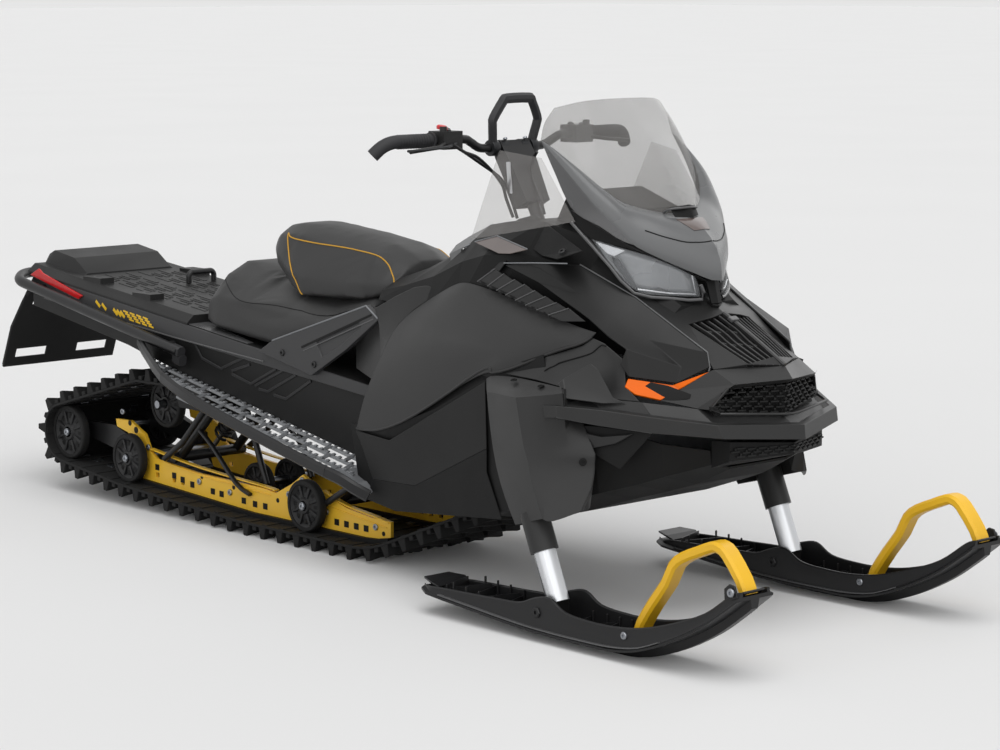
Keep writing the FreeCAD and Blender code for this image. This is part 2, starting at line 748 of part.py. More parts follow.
# hood sides: columns x, shoulder reach and height, crease reach and height
HOOD_SIDE = [(700.0, 238, 806, 224, 832), (900.0, 264, 750.4, 206, 826), (1045.0, 279, 694.0, 166, 756),
             (1110.0, 280, 640, 157, 722), (1176.0, 206, 590, 150, 687), (1231.0, 156, 612, 145, 655)]
side_sections = []
for x, shoulder, shoulder_z, crease, crease_z in HOOD_SIDE:
    middle = ((shoulder + crease) / 2 + 6.0, (shoulder_z + crease_z) / 2)
    line = [(-shoulder, shoulder_z + gap), (-middle[0], middle[1]), (-crease, crease_z - gap)]
    side_sections.append(shell_section(x, line, wall))
hood_flanks = both_sides(loft(side_sections))
feature("hood_sides", hood_flanks)


def across_loft(rows):
    """A solid whose (x, z) section changes with y: rows run from the right to the middle."""
    right = [(-y, section) for y, section in rows]
    left = [(y, section) for y, section in reversed(rows) if y > 0]
    return loft([[V(x, y, z) for x, z in section] for y, section in right + left])


# nose band under the hood: half width, then (x, z) of lower back, lower front, upper front, upper back
cowl = across_loft([
    (290.0, [(1045.3, 586.0), (1108.0, 576.0), (1092.0, 628.0), (1045.3, 640.0)]),
    (240.0, [(1100.0, 556.0), (1178.0, 554.0), (1150.0, 604.0), (1100.0, 610.0)]),
    (184.0, [(1160.0, 548.0), (1248.0, 546.0), (1196.0, 586.0), (1160.0, 590.0)]),
    (143.0, [(1215.0, 566.0), (1312.0, 590.0), (1252.0, 618.0), (1215.0, 618.0)]),
    (0.0, [(1260.0, 578.0), (1366.0, 598.0), (1337.0, 624.0), (1262.0, 624.0)]),
])
MARKER = [
    [V(1112.0, -300.0, 568.0), V(1104.0, -300.0, 604.0), V(1094.0, -270.0, 604.0), V(1100.0, -270.0, 568.0)],
    [V(1192.0, -232.0, 556.0), V(1180.0, -232.0, 590.0), V(1166.0, -214.0, 590.0), V(1176.0, -214.0, 556.0)],
    [V(1256.0, -150.0, 600.0), V(1256.0, -150.0, 612.0), V(1240.0, -146.0, 612.0), V(1240.0, -146.0, 600.0)],
]
marker = loft(MARKER)
under_flanks = hood_flanks.translated(V(0, 0, -gap))
markers = both_sides(marker).cut(under_flanks)
feature("nose_cowl", cowl.cut(markers).cut(under_flanks))
feature("side_markers", markers)

# front bumper: the same kind of rows
bumper_solid = across_loft([
    (372.0, [(1040.0, 508.0), (1052.0, 506.0), (1050.0, 545.0), (1040.0, 545.0)]),
    (340.0, [(1062.0, 494.0), (1098.0, 494.0), (1094.0, 536.0), (1062.0, 545.0)]),
    (286.0, [(1110.0, 480.0), (1200.0, 484.0), (1196.0, 522.0), (1110.0, 545.0)]),
    (200.0, [(1190.0, 462.0), (1332.0, 474.0), (1322.0, 507.0), (1190.0, 532.0)]),
    (0.0, [(1200.0, 452.0), (1404.0, 461.0), (1398.0, 497.0), (1200.0, 508.0)]),
])
feature("front_bumper", bumper_solid)
grille_upper = across_loft([(170.0, [(1225.0, 526.6), (1278.0, 518.6), (1270.0, 545.7), (1225.0, 545.7)]),
                            (0.0, [(1225.0, 507.3), (1330.0, 503.2), (1330.0, 583.5), (1225.0, 575.3)])])
grille_lower = across_loft([(160.0, [(1262.3, 398.0), (1318.0, 420.0), (1318.0, 464.0), (1262.3, 461.0)]),
                            (0.0, [(1262.3, 396.0), (1372.0, 426.0), (1372.0, 452.0), (1262.3, 452.0)])])
grille_upper = grille_upper.cut(bumper_solid.translated(V(0, 0, gap)))
grille_lower = grille_lower.cut(bumper_solid.translated(V(0, 0, -gap)))
feature("nose_grilles", Part.makeCompound([grille_upper, grille_lower]))

# ---------------------------------------------------------------- strut housings and legs
half_stance = size("ski_stance") / 2
rake = math.radians(size("leg_rake"))
leg_up = V(-math.sin(rake), 0, math.cos(rake))
leg_foot = V(size("leg_foot_x"), -half_stance, size("leg_foot_z"))


def leg_box(start, length, deep, broad):
    """A raked tube of eight flats standing on the leg's line."""
    fore = V(math.cos(rake), 0, math.sin(rake))
    base = leg_foot + leg_up * start
    corner_d, corner_b = deep * 0.3, broad * 0.28
    ring = [(deep / 2, broad / 2 - corner_b), (deep / 2 - corner_d, broad / 2),
            (-deep / 2 + corner_d, broad / 2), (-deep / 2, broad / 2 - corner_b),
            (-deep / 2, -broad / 2 + corner_b), (-deep / 2 + corner_d, -broad / 2),
            (deep / 2 - corner_d, -broad / 2), (deep / 2, -broad / 2 + corner_b)]
    face = Part.Face(polygon([base + fore * d + ACROSS * b for d, b in ring]))
    return face.extrude(leg_up * length)


# housing: columns height, back and front x, inner reach at back and front, outer reach
HOUSING = [(236.0, 872.0, 1008.0, 362.3, 338.0, 452.0), (330.0, 835.0, 1010.0, 362.3, 338.0, 456.0),
           (450.0, 792.0, 985.0, 362.3, 352.0, 454.0), (562.0, 752.0, 962.0, 362.3, 362.3, 442.0),
           (578.0, 775.0, 940.0, 362.3, 362.3, 424.0)]
housing_sections = []
for z, back, fore, inner, inner_fore, outer in HOUSING:
    ridge = back + 0.42 * (fore - back)
    housing_sections.append([V(back, -inner, z), V(back, -outer + 26.0, z), V(ridge, -outer, z),
                             V(fore, -outer + 22.0, z), V(fore + 60.0, -inner_fore, z)])
housing = loft(housing_sections)
leg_start = 20.0
collar_start = 128.0
collar_end = 186.0
strut_end = collar_end + 190.0
bore = Part.makeCylinder(size("strut_radius") + size("strut_clearance"), strut_end - collar_end + 48.0,
                         leg_foot + leg_up * (collar_end - 40.0), leg_up)
mouth = leg_box(collar_start, collar_end - collar_start + size("mouth_clearance"),
                size("leg_depth") + 2 * size("collar_wall") + 22.0,
                size("leg_breadth") + 2 * size("collar_wall") + 22.0)
feature("strut_housings", both_sides(housing.cut(bore).cut(mouth)))


def make_collar():
    """Dark sleeve over the leg's top, with the round strut that turns in the housing."""
    over = 2 * size("collar_wall")
    sleeve_part = leg_box(collar_start, collar_end - collar_start, size("leg_depth") + over,
                          size("leg_breadth") + over)
    strut = rod(leg_foot + leg_up * (collar_end - 1.0), leg_foot + leg_up * strut_end, size("strut_radius"))
    return sleeve_part.fuse(strut)


# ---------------------------------------------------------------- skis
# columns: x, underside height, wall top height
SKI = [(605.0, 56.0, 74.0), (640.0, 52.0, 88.0), (700.0, 46.0, 98.0), (880.0, 31.0, 86.0),
       (960.0, 25.0, 96.0), (1040.0, 22.0, 102.0), (1110.0, 21.0, 86.0), (1260.0, 22.0, 80.0),
       (1340.0, 36.0, 88.0), (1430.0, 70.0, 116.0), (1520.0, 118.0, 154.0), (1590.0, 168.0, 208.0),
       (1618.0, 190.0, 214.0)]


def make_ski():
    """A channel-section ski with side walls, a flared floor and a keel."""
    half_wide, flange = size("ski_half"), size("ski_flange")
    wall_thick, floor = size("ski_wall"), size("ski_floor")
    keel = size("keel_half")
    sections = []
    for x, under, top in SKI:
        taper = 1.0 - 0.25 * max(0.0, (x - 1430.0) / 190.0) - 0.3 * max(0.0, (640.0 - x) / 35.0)
        w = half_wide * taper
        keel_z = max(under - 21.0, 0.0) if x > 700.0 else under - 8.0
        ring = [(-w - flange, under), (-w - flange, under + 5.0), (-w, under + floor), (-w, top),
                (-w + wall_thick, top), (-w + wall_thick, under + floor),
                (w - wall_thick, under + floor), (w - wall_thick, top), (w, top),
                (w, under + floor), (w + flange, under + 5.0), (w + flange, under),
                (keel, under), (keel * 0.7, keel_z), (-keel * 0.7, keel_z), (-keel, under)]
        sections.append([V(x, -half_stance + y, z) for y, z in ring])
    return loft(sections)


def make_ski_loop():
    """Hand loop of flat moulded bar over the ski's tip."""
    line = [(1322.0, 52.0), (1352.0, 98.0), (1378.0, 176.0), (1412.0, 236.0), (1462.0, 268.0),
            (1512.0, 286.0), (1552.0, 272.0), (1584.0, 226.0), (1602.0, 202.0)]
    half_wide = size("loop_width") / 2
    return slab(ribbon(line, size("loop_thick")), -half_stance - half_wide, -half_stance + half_wide)


def make_ski_leg():
    """Faceted tube that steers the ski, its saddle block and the pivot bolt."""
    leg = leg_box(leg_start, collar_start - leg_start - 0.3, size("leg_depth"), size("leg_breadth"))
    inner = size("ski_half") - size("ski_wall") - 0.3
    saddle_low = 34.3
    saddle = Part.makeBox(92.0, 2 * 34.0, 66.0, V(size("leg_foot_x") - 48.0, -half_stance - 34.0, saddle_low))
    bolt_at = V(1010.0, -half_stance, 68.0)
    bolt = rod(bolt_at - V(0, inner, 0), bolt_at + V(0, inner, 0), size("pin_radius"))
    return leg.fuse(saddle).fuse(bolt)


for side, turn in (("right", lambda shape: shape), ("left", mirrored)):
    feature("ski_" + side, turn(make_ski()))
    feature("ski_loop_" + side, turn(make_ski_loop()))
    feature("ski_leg_" + side, turn(make_ski_leg()))
    feature("strut_collar_" + side, turn(make_collar()))

# ---------------------------------------------------------------- steering
column = math.radians(size("column_rake"))
column_up = V(-math.sin(column), 0, math.cos(column))
clamp = V(size("clamp_x"), 0, size("clamp_z"))
riser_foot = clamp - column_up * size("riser_length")


def make_riser():
    """Tall clamp block on the steering post."""
    fore = V(math.cos(column), 0, math.sin(column))
    sections = []
    # columns: distance up the column, depth, half breadth
    for up, deep, broad in ((0.0, 44.0, 40.0), (100.0, 44.0, 46.0), (140.0, 40.0, 50.0), (172.0, 34.0, 50.0)):
        base = riser_foot + column_up * up
        sections.append([base + fore * d + ACROSS * b for d, b in
                         ((deep / 2, -broad), (deep / 2, broad), (-deep / 2, broad), (-deep / 2, -broad))])
    post_foot = riser_foot - column_up * size("post_length")
    post = rod(post_foot, riser_foot + column_up * 2.0, size("post_radius"))
    block = loft(sections).fuse(post)
    return block.cut(rod(clamp + V(0, -90, 0), clamp + V(0, 90, 0), size("bar_radius") + 0.3))


feature("steering_riser", make_riser())

# right half of the bar: x, reach, height
BAR = [(clamp.x, 0.0, clamp.z), (clamp.x, 98.0, clamp.z), (clamp.x + 6.0, 162.0, clamp.z + 26.0),
       (clamp.x - 6.0, 395.0, clamp.z + 26.0), (clamp.x - 32.0, 434.0, clamp.z - 8.0)]


def bar_point(reach):
    """A point on the right half of the bar at a distance from the middle."""
    for (x0, y0, z0), (x1, y1, z1) in zip(BAR, BAR[1:]):
        if y0 <= reach <= y1:
            share = (reach - y0) / (y1 - y0)
            return V(x0 + (x1 - x0) * share, -reach, z0 + (z1 - z0) * share)


bar_end = bar_point(size("grip_outer") - 12.0)
bar_half = [V(x, -y, z) for x, y, z in BAR[1:3]]
bar_path = [bar_end] + bar_half[::-1] + [V(spot.x, -spot.y, spot.z) for spot in bar_half + [bar_end]]
feature("handlebar", tube(bar_path, size("bar_radius"), 45.0))

# a grip covers the bar's end and runs on round the hooked tip
grip_path = [bar_point(size("grip_inner"))] + [V(x, -y, z) for x, y, z in BAR[3:]]
grip = tube(grip_path, size("grip_radius"), 40.0)
grip = grip.cut(rod(grip_path[0] - (bar_end - grip_path[0]).normalize() * 5.0,
                    bar_end + (bar_end - grip_path[0]).normalize() * 0.3, size("bar_radius") + 0.2))
feature("grips", both_sides(grip))
block_at = bar_point(225.0)
block = Part.makeBox(56.0, 62.0, 44.0, block_at - V(28, 31, 22))
block = block.fuse(rod(block_at + V(14, -20, 10), block_at + V(14, -20, 34), 9.0))
block = block.cut(rod(bar_point(180.0), bar_point(269.0), size("bar_radius") + 0.2))
lever = tube([block_at + V(24, -26, -8), block_at + V(44, -60, -14), block_at + V(40, -150, -22)], 5.0, 30.0)
feature("control_blocks", both_sides(block.fuse(lever)))

strap_half = size("strap_half")
strap_foot = clamp + V(0, 0, 4.0)
strap_right = [V(0, -strap_half + 10, 0), V(0, -strap_half, 62.0),
               V(0, -strap_half + 34, size("strap_height"))]
strap_path = strap_right + [V(0, -spot.y, spot.z) for spot in reversed(strap_right)]
strap_lean = 0.18
strap_run = [strap_foot + V(spot.z * strap_lean, spot.y, spot.z) for spot in strap_path]
strap = tube(strap_run, size("strap_radius"), 30.0)
feature("grab_strap", strap.cut(rod(clamp + V(0, -90, 0), clamp + V(0, 90, 0), size("bar_radius") + 0.3)))

# ---------------------------------------------------------------- console and screen
# engine: it stands on the belly pan
ENGINE_REAR = 670.0
engine_front = ENGINE_REAR + size("engine_length")


def under_flat(x):
    """Height of the under side's flat at x."""
    for (x0, _, z0, *_), (x1, _, z1, *_) in zip(UNDER, UNDER[1:]):
        if x0 <= x <= x1:
            return z0 + (z1 - z0) * (x - x0) / (x1 - x0)


engine_foot = under_flat(engine_front) + wall + 0.3
ENGINE_TOP = engine_foot + size("engine_height") + 0.3

# tank and console between seat and screen: x, foot, shoulder and crown heights, then half widths
TANK = [
    (120.3, 690.0, 712.0, 738.0, 175.0, 165.0, 110.0),
    (240.0, 690.0, 738.0, 775.0, 200.0, 185.0, 110.0),
    (360.0, 690.0, 770.0, 828.0, 225.0, 200.0, 105.0),
    (470.0, 690.0, 815.0, 900.0, 235.0, 205.0, 110.0),
    (560.0, 690.0, 838.0, 915.0, 235.0, 215.0, 130.0),
    (700.0, ENGINE_TOP, 850.0, 925.0, 212.0, 208.0, 150.0),
    (900.0, ENGINE_TOP, 825.0, 885.0, 190.0, 190.0, 140.0),
    (1000.0, ENGINE_TOP, 772.0, 815.0, 150.0, 150.0, 110.0),
    (1098.0, 690.0, 722.0, 750.0, 130.0, 130.0, 90.0),
]
tank_sections = []
for x, foot, shoulder, crown, low, mid, top in TANK:
    tank_sections.append([V(x, -low, foot), V(x, -mid, shoulder), V(x, -top, crown),
                          V(x, top, crown), V(x, mid, shoulder), V(x, low, foot)])
post_well = rod(riser_foot - column_up * (size("post_length") + 1.0), riser_foot + column_up * 40.0,
                size("post_radius") + size("post_clearance"))
console_solid = loft(tank_sections).cut(post_well)
feature("console", console_solid)

# screen: height, x and half width of the front face, then x and half width of the side's rear edge
SCREEN = [(985.0, 1024.0, 64.0, 872.0, 226.0), (1060.0, 952.0, 104.0, 812.0, 230.0),
          (1130.0, 890.0, 120.0, 768.0, 226.0), (1212.0, 828.0, 104.0, 768.0, 184.0)]


def bowed_shell(rows, thick, pinch):
    """Open shell that bows forward: each row is a height with its front and rear edges."""
    sections = []
    for z, fore, fore_half, back, back_half in rows:
        mid_x = fore * 0.55 + back * 0.45
        mid_y = fore_half + 0.55 * (back_half - fore_half) + 12.0
        outer = [(back, -back_half), (mid_x, -mid_y), (fore, -fore_half), (fore, fore_half),
                 (mid_x, mid_y), (back, back_half)]
        inner = [(x - thick, y * pinch) for x, y in outer[::-1]]
        sections.append([V(x, y, z) for x, y in outer + inner])
    return loft(sections)


# shroud under the screen, down to its beak: the same columns
SHROUD = [(766.0, 1118.0, 18.0, 1104.0, 26.0), (806.0, 1128.0, 22.0, 1112.0, 34.0),
          (832.0, 1118.0, 36.0, 1092.0, 62.0), (862.0, 1104.0, 48.0, 1054.0, 112.0),
          (926.0, 1056.0, 64.0, 890.0, 218.0), (984.7, 1024.0, 64.0, 872.0, 226.0)]
# side wing: four corners at its nose, its middle and its tip
WING = [
    [V(1046.0, -132.0, 868.0), V(1036.0, -142.0, 898.0), V(1028.0, -136.0, 898.0), V(1038.0, -126.0, 868.0)],
    [V(900.0, -216.0, 925.0), V(876.0, -232.0, 985.0), V(871.0, -226.0, 984.0), V(895.0, -210.0, 924.0)],
    [V(780.0, -234.0, 1085.0), V(764.0, -230.0, 1124.0), V(759.0, -225.0, 1123.0), V(775.0, -228.0, 1084.0)],
]
wings = both_sides(loft(WING))
screen = bowed_shell(SCREEN, size("screen_wall"), 0.985).cut(wings)
feature("windshield", max(screen.Solids, key=lambda solid: solid.Volume))
feature("windshield_shroud", bowed_shell(SHROUD, wall, 0.97).cut(wings))
feature("screen_wings", wings)

deflector_wall = V(0, size("screen_wall"), 0)
pane_rear = [V(557.0, -256.0, 879.0), V(664.0, -262.0, 1098.0)]
pane_front = [V(884.0, -229.0, 940.0), V(774.0, -232.6, 1084.0)]
deflector = loft([[pane_rear[0], pane_rear[1], pane_rear[1] + deflector_wall, pane_rear[0] + deflector_wall],
                  [pane_front[0], pane_front[1], pane_front[1] + deflector_wall,
                   pane_front[0] + deflector_wall]])
feature("side_deflectors", both_sides(deflector))

# headlamp: four corners at its nose, its widest point and its rear tip
LENS = [
    [V(1106.0, -32.0, 758.0), V(1102.0, -36.0, 822.0), V(1070.0, -32.0, 822.0), V(1074.0, -28.0, 758.0)],
    [V(1017.0, -158.0, 782.0), V(1020.0, -152.0, 877.0), V(988.0, -142.0, 877.0), V(982.0, -146.0, 790.0)],
    [V(960.0, -182.0, 840.0), V(920.0, -202.0, 898.0), V(900.0, -196.0, 892.0), V(935.0, -176.0, 840.0)],
]
lens = loft(LENS)
for neighbour in (console_solid, hood_solid):
    lens = lens.cut(neighbour.translated(V(0, 0, gap)))
lens = max(lens.Solids, key=lambda solid: solid.Volume)
feature("headlamps", both_sides(lens))

feature("instrument", slab([(700.0, 925.3), (880.0, 907.3), (900.0, 960.0), (780.0, 1002.0), (740.0, 996.0)],
                           -105.0, 105.0))

# ---------------------------------------------------------------- running gear inside the track
engine_low = V(ENGINE_REAR, -size("engine_width") / 2, engine_foot)
feature("engine_block", Part.makeBox(engine_front - ENGINE_REAR, size("engine_width"), size("engine_height"),
                                     engine_low))

arm_offset = 98.0
arm_tube = 15.0
tunnel_inner = TUNNEL_HALF - size("tunnel_wall") - 0.3
FRONT_FOOT = (-130.0, 122.0)
REAR_FOOT = (-840.0, 152.0)


def swing_arm(foot, pivot):
    """A pair of legs with a cross tube at the tunnel and one at the rails."""
    rail_inner = size("rail_offset") - size("rail_thick") / 2 - 0.3
    shape = rod(V(pivot[0], -tunnel_inner, pivot[1]), V(pivot[0], tunnel_inner, pivot[1]), arm_tube)
    shape = shape.fuse(rod(V(foot[0], -rail_inner, foot[1]), V(foot[0], rail_inner, foot[1]), arm_tube))
    for side in (-arm_offset, arm_offset):
        shape = shape.fuse(rod(V(foot[0], side, foot[1]), V(pivot[0], side, pivot[1]), 13.0))
    return shape


feature("suspension_arms", Part.makeCompound([swing_arm(FRONT_FOOT, FRONT_PIVOT),
                                              swing_arm(REAR_FOOT, REAR_PIVOT)]))


def shock(pivot, foot):
    """A damper body with its spring's envelope and a thinner rod, between two cross tubes."""
    upper, lower = V(pivot[0], 0, pivot[1]), V(foot[0], 0, foot[1])
    along = (lower - upper).normalize()
    start, end = upper + along * (arm_tube + 0.3), lower - along * (arm_tube + 0.3)
    share = start + (end - start) * 0.62
    return rod(start, share, 27.0).fuse(rod(share, end, 10.0))


feature("shock_absorbers", Part.makeCompound([shock(FRONT_PIVOT, FRONT_FOOT), shock(REAR_PIVOT, REAR_FOOT)]))

# arms that carry the rear axle behind the rails
arm_inner = size("rail_offset") - size("rail_thick") / 2 - 0.3
tail_arm = slab([(-1318.0, 176.0), (-1300.0, 210.0), (-1120.0, 214.0), (-1010.0, 178.0), (-1010.0, 120.0),
                 (-1100.0, 142.0)], -arm_inner, -arm_inner + 18.0)
tail_arm = tail_arm.cut(Part.makeCylinder(size("axle_radius") + 0.3, 40.0,
                                          V(rear_wheel[0], -arm_inner - 10.0, rear_wheel[1]), ACROSS))
feature("tail_arms", both_sides(tail_arm))

# ---------------------------------------------------------------- checks and output
doc.recompute()
for thing in doc.Objects:
    if set(thing.State) & {"Invalid", "Error"}:
        raise RuntimeError("%s failed: %s" % (thing.Label, thing.State))
for part in subparts:
    shape = part.Shape
    if shape.isNull() or not shape.isValid() or not shape.Solids:
        raise RuntimeError("%s has no valid solid" % part.Label)
    if min(solid.Volume for solid in shape.Solids) <= 0:
        raise RuntimeError("%s holds a solid turned inside out" % part.Label)
for part in subparts:
    part.Shape.exportStep("parts/%s.step" % part.Label)
    print("%-20s solids %2d volume %9.0f" % (part.Label, len(part.Shape.Solids), part.Shape.Volume))
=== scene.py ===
"""Dresses the packed snowmobile: detailed shells, soft parts, materials, light and camera.

Same frame as the part: metres, +X to the nose, +Y to the rider's left, +Z up, floor at z = 0.
"""
import bmesh
import bpy
import json
import math
from contextlib import contextmanager
from mathutils import Matrix, Vector

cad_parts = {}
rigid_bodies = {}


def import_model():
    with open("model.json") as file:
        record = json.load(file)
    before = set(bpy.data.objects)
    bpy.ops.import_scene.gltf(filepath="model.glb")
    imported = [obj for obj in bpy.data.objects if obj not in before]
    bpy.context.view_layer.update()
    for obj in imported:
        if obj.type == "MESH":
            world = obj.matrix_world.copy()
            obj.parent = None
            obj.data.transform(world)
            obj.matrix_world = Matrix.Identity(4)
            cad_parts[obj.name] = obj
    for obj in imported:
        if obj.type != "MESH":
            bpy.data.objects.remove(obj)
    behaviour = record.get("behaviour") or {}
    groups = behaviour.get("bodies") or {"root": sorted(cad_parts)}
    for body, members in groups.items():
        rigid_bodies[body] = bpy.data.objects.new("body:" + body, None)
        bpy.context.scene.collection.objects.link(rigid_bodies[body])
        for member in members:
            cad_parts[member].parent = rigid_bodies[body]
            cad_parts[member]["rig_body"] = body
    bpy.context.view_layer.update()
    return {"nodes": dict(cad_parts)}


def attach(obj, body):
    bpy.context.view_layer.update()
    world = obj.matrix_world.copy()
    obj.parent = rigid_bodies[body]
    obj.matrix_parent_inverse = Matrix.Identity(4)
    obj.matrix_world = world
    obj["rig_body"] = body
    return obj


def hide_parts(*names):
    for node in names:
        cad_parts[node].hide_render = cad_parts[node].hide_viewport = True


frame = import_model()
scene = bpy.context.scene


# ------------------------------------------------------------------ colours and nodes
def linear(hex_colour):
    """An sRGB hex colour as linear RGBA."""
    channels = [int(hex_colour[i:i + 2], 16) / 255 for i in (1, 3, 5)]
    return tuple(c / 12.92 if c <= 0.04045 else ((c + 0.055) / 1.055) ** 2.4 for c in channels) + (1.0,)


def add(tree, kind, settings=None, inputs=None):
    """Adds one node with its settings, and its inputs as values or as other nodes' outputs."""
    node = tree.nodes.new(kind)
    for name, value in (settings or {}).items():
        setattr(node, name, value)
    for name, value in (inputs or {}).items():
        if isinstance(value, bpy.types.NodeSocket):
            tree.links.new(value, node.inputs[name])
        else:
            node.inputs[name].default_value = value
    return node


MM = 0.001
GLOSS_DRIFT = 0.06


def empty_material(name):
    """A material and its node tree with nothing in it yet."""
    material = bpy.data.materials.new(name)
    material.use_nodes = True
    material.node_tree.nodes.clear()
    return material, material.node_tree


def surface(name, colour, roughness, metallic=0.0, ior=1.5, grain_mm=1.2, grain_depth_mm=0.06,
            blotch=0.12, coat=0.0, stretch=(1.0, 1.0, 1.0)):
    """A moulded, cast or painted finish: fine grain and a slow drift of colour and gloss."""
    material, tree = empty_material(name)
    place = add(tree, "ShaderNodeTexCoord").outputs["Object"]
    place = add(tree, "ShaderNodeMapping", inputs={"Vector": place, "Scale": stretch}).outputs["Vector"]
    drift = add(tree, "ShaderNodeTexNoise", inputs={"Vector": place, "Scale": 7.0, "Detail": 3.0})
    grain = add(tree, "ShaderNodeTexNoise", inputs={"Vector": place, "Scale": 1 / (grain_mm * MM),
                                                    "Detail": 2.0})
    base = linear(colour)
    dark = tuple(c * (1 - blotch) for c in base[:3]) + (1.0,)
    light = tuple(min(1.0, c * (1 + blotch)) for c in base[:3]) + (1.0,)
    shade = add(tree, "ShaderNodeMix", {"data_type": "RGBA"}, {0: drift.outputs["Fac"], 6: dark, 7: light})
    rough = add(tree, "ShaderNodeMapRange", inputs={
        "Value": drift.outputs["Fac"], "From Min": 0.3, "From Max": 0.7,
        "To Min": roughness - GLOSS_DRIFT, "To Max": roughness + GLOSS_DRIFT}).outputs[0]
    bump = add(tree, "ShaderNodeBump", inputs={"Height": grain.outputs["Fac"], "Strength": 1.0,
                                               "Distance": grain_depth_mm * MM})
    shader = add(tree, "ShaderNodeBsdfPrincipled", inputs={
        "Base Color": shade.outputs[2], "Roughness": rough, "Normal": bump.outputs["Normal"], "Metallic": metallic,
        "IOR": ior, "Coat Weight": coat, "Coat Roughness": 0.25})
    add(tree, "ShaderNodeOutputMaterial", inputs={"Surface": shader.outputs[0]})
    return material


def clear_plastic(name, colour, alpha):
    """Polycarbonate that is seen through, with a faint tint and its own gloss."""
    material, tree = empty_material(name)
    place = add(tree, "ShaderNodeTexCoord").outputs["Object"]
    haze = add(tree, "ShaderNodeTexNoise", inputs={"Vector": place, "Scale": 4.0, "Detail": 2.0})
    opacity = add(tree, "ShaderNodeMapRange", inputs={
        "Value": haze.outputs["Fac"], "From Min": 0.3, "From Max": 0.7,
        "To Min": alpha * 0.9, "To Max": alpha * 1.1}).outputs[0]
    shader = add(tree, "ShaderNodeBsdfPrincipled", inputs={
        "Base Color": linear(colour), "Roughness": 0.05, "IOR": 1.35, "Alpha": opacity})
    add(tree, "ShaderNodeOutputMaterial", inputs={"Surface": shader.outputs[0]})
    return material


# ------------------------------------------------------------------ building helpers
def new_mesh(name, vertices, faces):
    """A mesh from places in metres and faces as rows of their numbers."""
    mesh = bpy.data.meshes.new(name)
    mesh.from_pydata(vertices, [], faces)
    return mesh


@contextmanager
def edited(mesh):
    """A mesh opened for editing, and written back afterwards."""
    work = bmesh.new()
    work.from_mesh(mesh)
    yield work
    work.to_mesh(mesh)
    work.free()


def turn_outwards(mesh):
    """Turns a closed mesh's faces to look outwards."""
    with edited(mesh) as work:
        bmesh.ops.recalc_face_normals(work, faces=work.faces)


def loft(rings, sides, closed=False):
    """Faces from ring to ring of vertices, with both ends capped unless the last ring meets the first."""
    faces = [(i * sides + k, i * sides + (k + 1) % sides, (i + 1) % rings * sides + (k + 1) % sides,
              (i + 1) % rings * sides + k) for i in range(rings if closed else rings - 1) for k in range(sides)]
    if not closed:
        faces += [tuple(reversed(range(sides))), tuple((rings - 1) * sides + k for k in range(sides))]
    return faces


def show(name, mesh, finish, body="chassis", hides=()):
    """Links a finished mesh at the origin, gives it its finish and lets it ride on a body."""
    mesh.materials.clear()
    mesh.materials.append(finish)
    thing = bpy.data.objects.new(name, mesh)
    scene.collection.objects.link(thing)
    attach(thing, body)
    if hides:
        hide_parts(*hides)
    return thing


def modify(thing, kind, **settings):
    """Adds a modifier with its settings."""
    modifier = thing.modifiers.new(kind.lower(), kind)
    for key, value in settings.items():
        setattr(modifier, key, value)
    return modifier


def smooth_below(mesh, degrees):
    """Smooth shading, with edges kept sharp where faces meet at more than an angle."""
    mesh.shade_smooth()
    mesh.set_sharp_from_angle(angle=math.radians(degrees))


RIM_CREASE = 0.8


def hold_creases(mesh, sharp, crease):
    """Keeps the folds of a shell, and the corners of its rim, as it is smoothed."""
    with edited(mesh) as work:
        weights = work.edges.layers.float.new("crease_edge")
        for edge in work.edges:
            if edge.is_boundary:
                edge[weights] = RIM_CREASE
            elif edge.calc_face_angle(0.0) > math.radians(sharp):
                edge[weights] = crease


def facets(name, points, faces, finish, wall=4.0, edge=2.0, sharp=24.0, spine=450.0, both=True,
           body="chassis", hides=(), soft=0, crease=0.6):
    """A moulded shell from named points (x, reach, z in mm on the right side) and its left-hand twin.

    Faces turn away from a line along the middle of the machine at the height of the spine.
    """
    keys = list(points)
    sides = (-1, 1) if both else (-1,)
    vertices = [(x * MM, side * reach * MM, z * MM) for side in sides for x, reach, z in points.values()]
    picked = [tuple(keys.index(key) + len(keys) * k for key in face.split())
              for k in range(len(sides)) for face in faces]
    mesh = new_mesh(name, vertices, picked)
    with edited(mesh) as work:
        bmesh.ops.remove_doubles(work, verts=work.verts, dist=0.0002)
        for face in work.faces:
            face.normal_update()
            centre = face.calc_center_median()
            if face.normal.dot(Vector((0, centre.y, centre.z - spine * MM)) + Vector((0.02, 0, 0))) < 0:
                face.normal_flip()
    if soft:
        hold_creases(mesh, sharp, crease)
        mesh.shade_smooth()
    else:
        smooth_below(mesh, sharp)
    thing = show(name, mesh, finish, body, hides)
    if soft:
        modify(thing, "SUBSURF", levels=soft, render_levels=soft)
    modify(thing, "SOLIDIFY", thickness=wall * MM, offset=-1.0)
    if edge:
        modify(thing, "BEVEL", width=edge * MM, segments=2, limit_method="ANGLE",
               angle_limit=math.radians(sharp - 12.0), harden_normals=True)
    modify(thing, "WEIGHTED_NORMAL", keep_sharp=True)
    return thing


def along_line(points, count):
    """Evenly spaced places on the smooth line through points."""
    run = curve_points(points, 8)
    lengths = [0.0]
    for a, b in zip(run, run[1:]):
        lengths.append(lengths[-1] + (b - a).length)
    places, k = [], 0
    for i in range(count + 1):
        want = lengths[-1] * i / count
        while k < len(run) - 2 and lengths[k + 1] < want:
            k += 1
        part = (want - lengths[k]) / max(lengths[k + 1] - lengths[k], 1e-9)
        places.append(run[k].lerp(run[k + 1], min(1.0, part)))
    return places


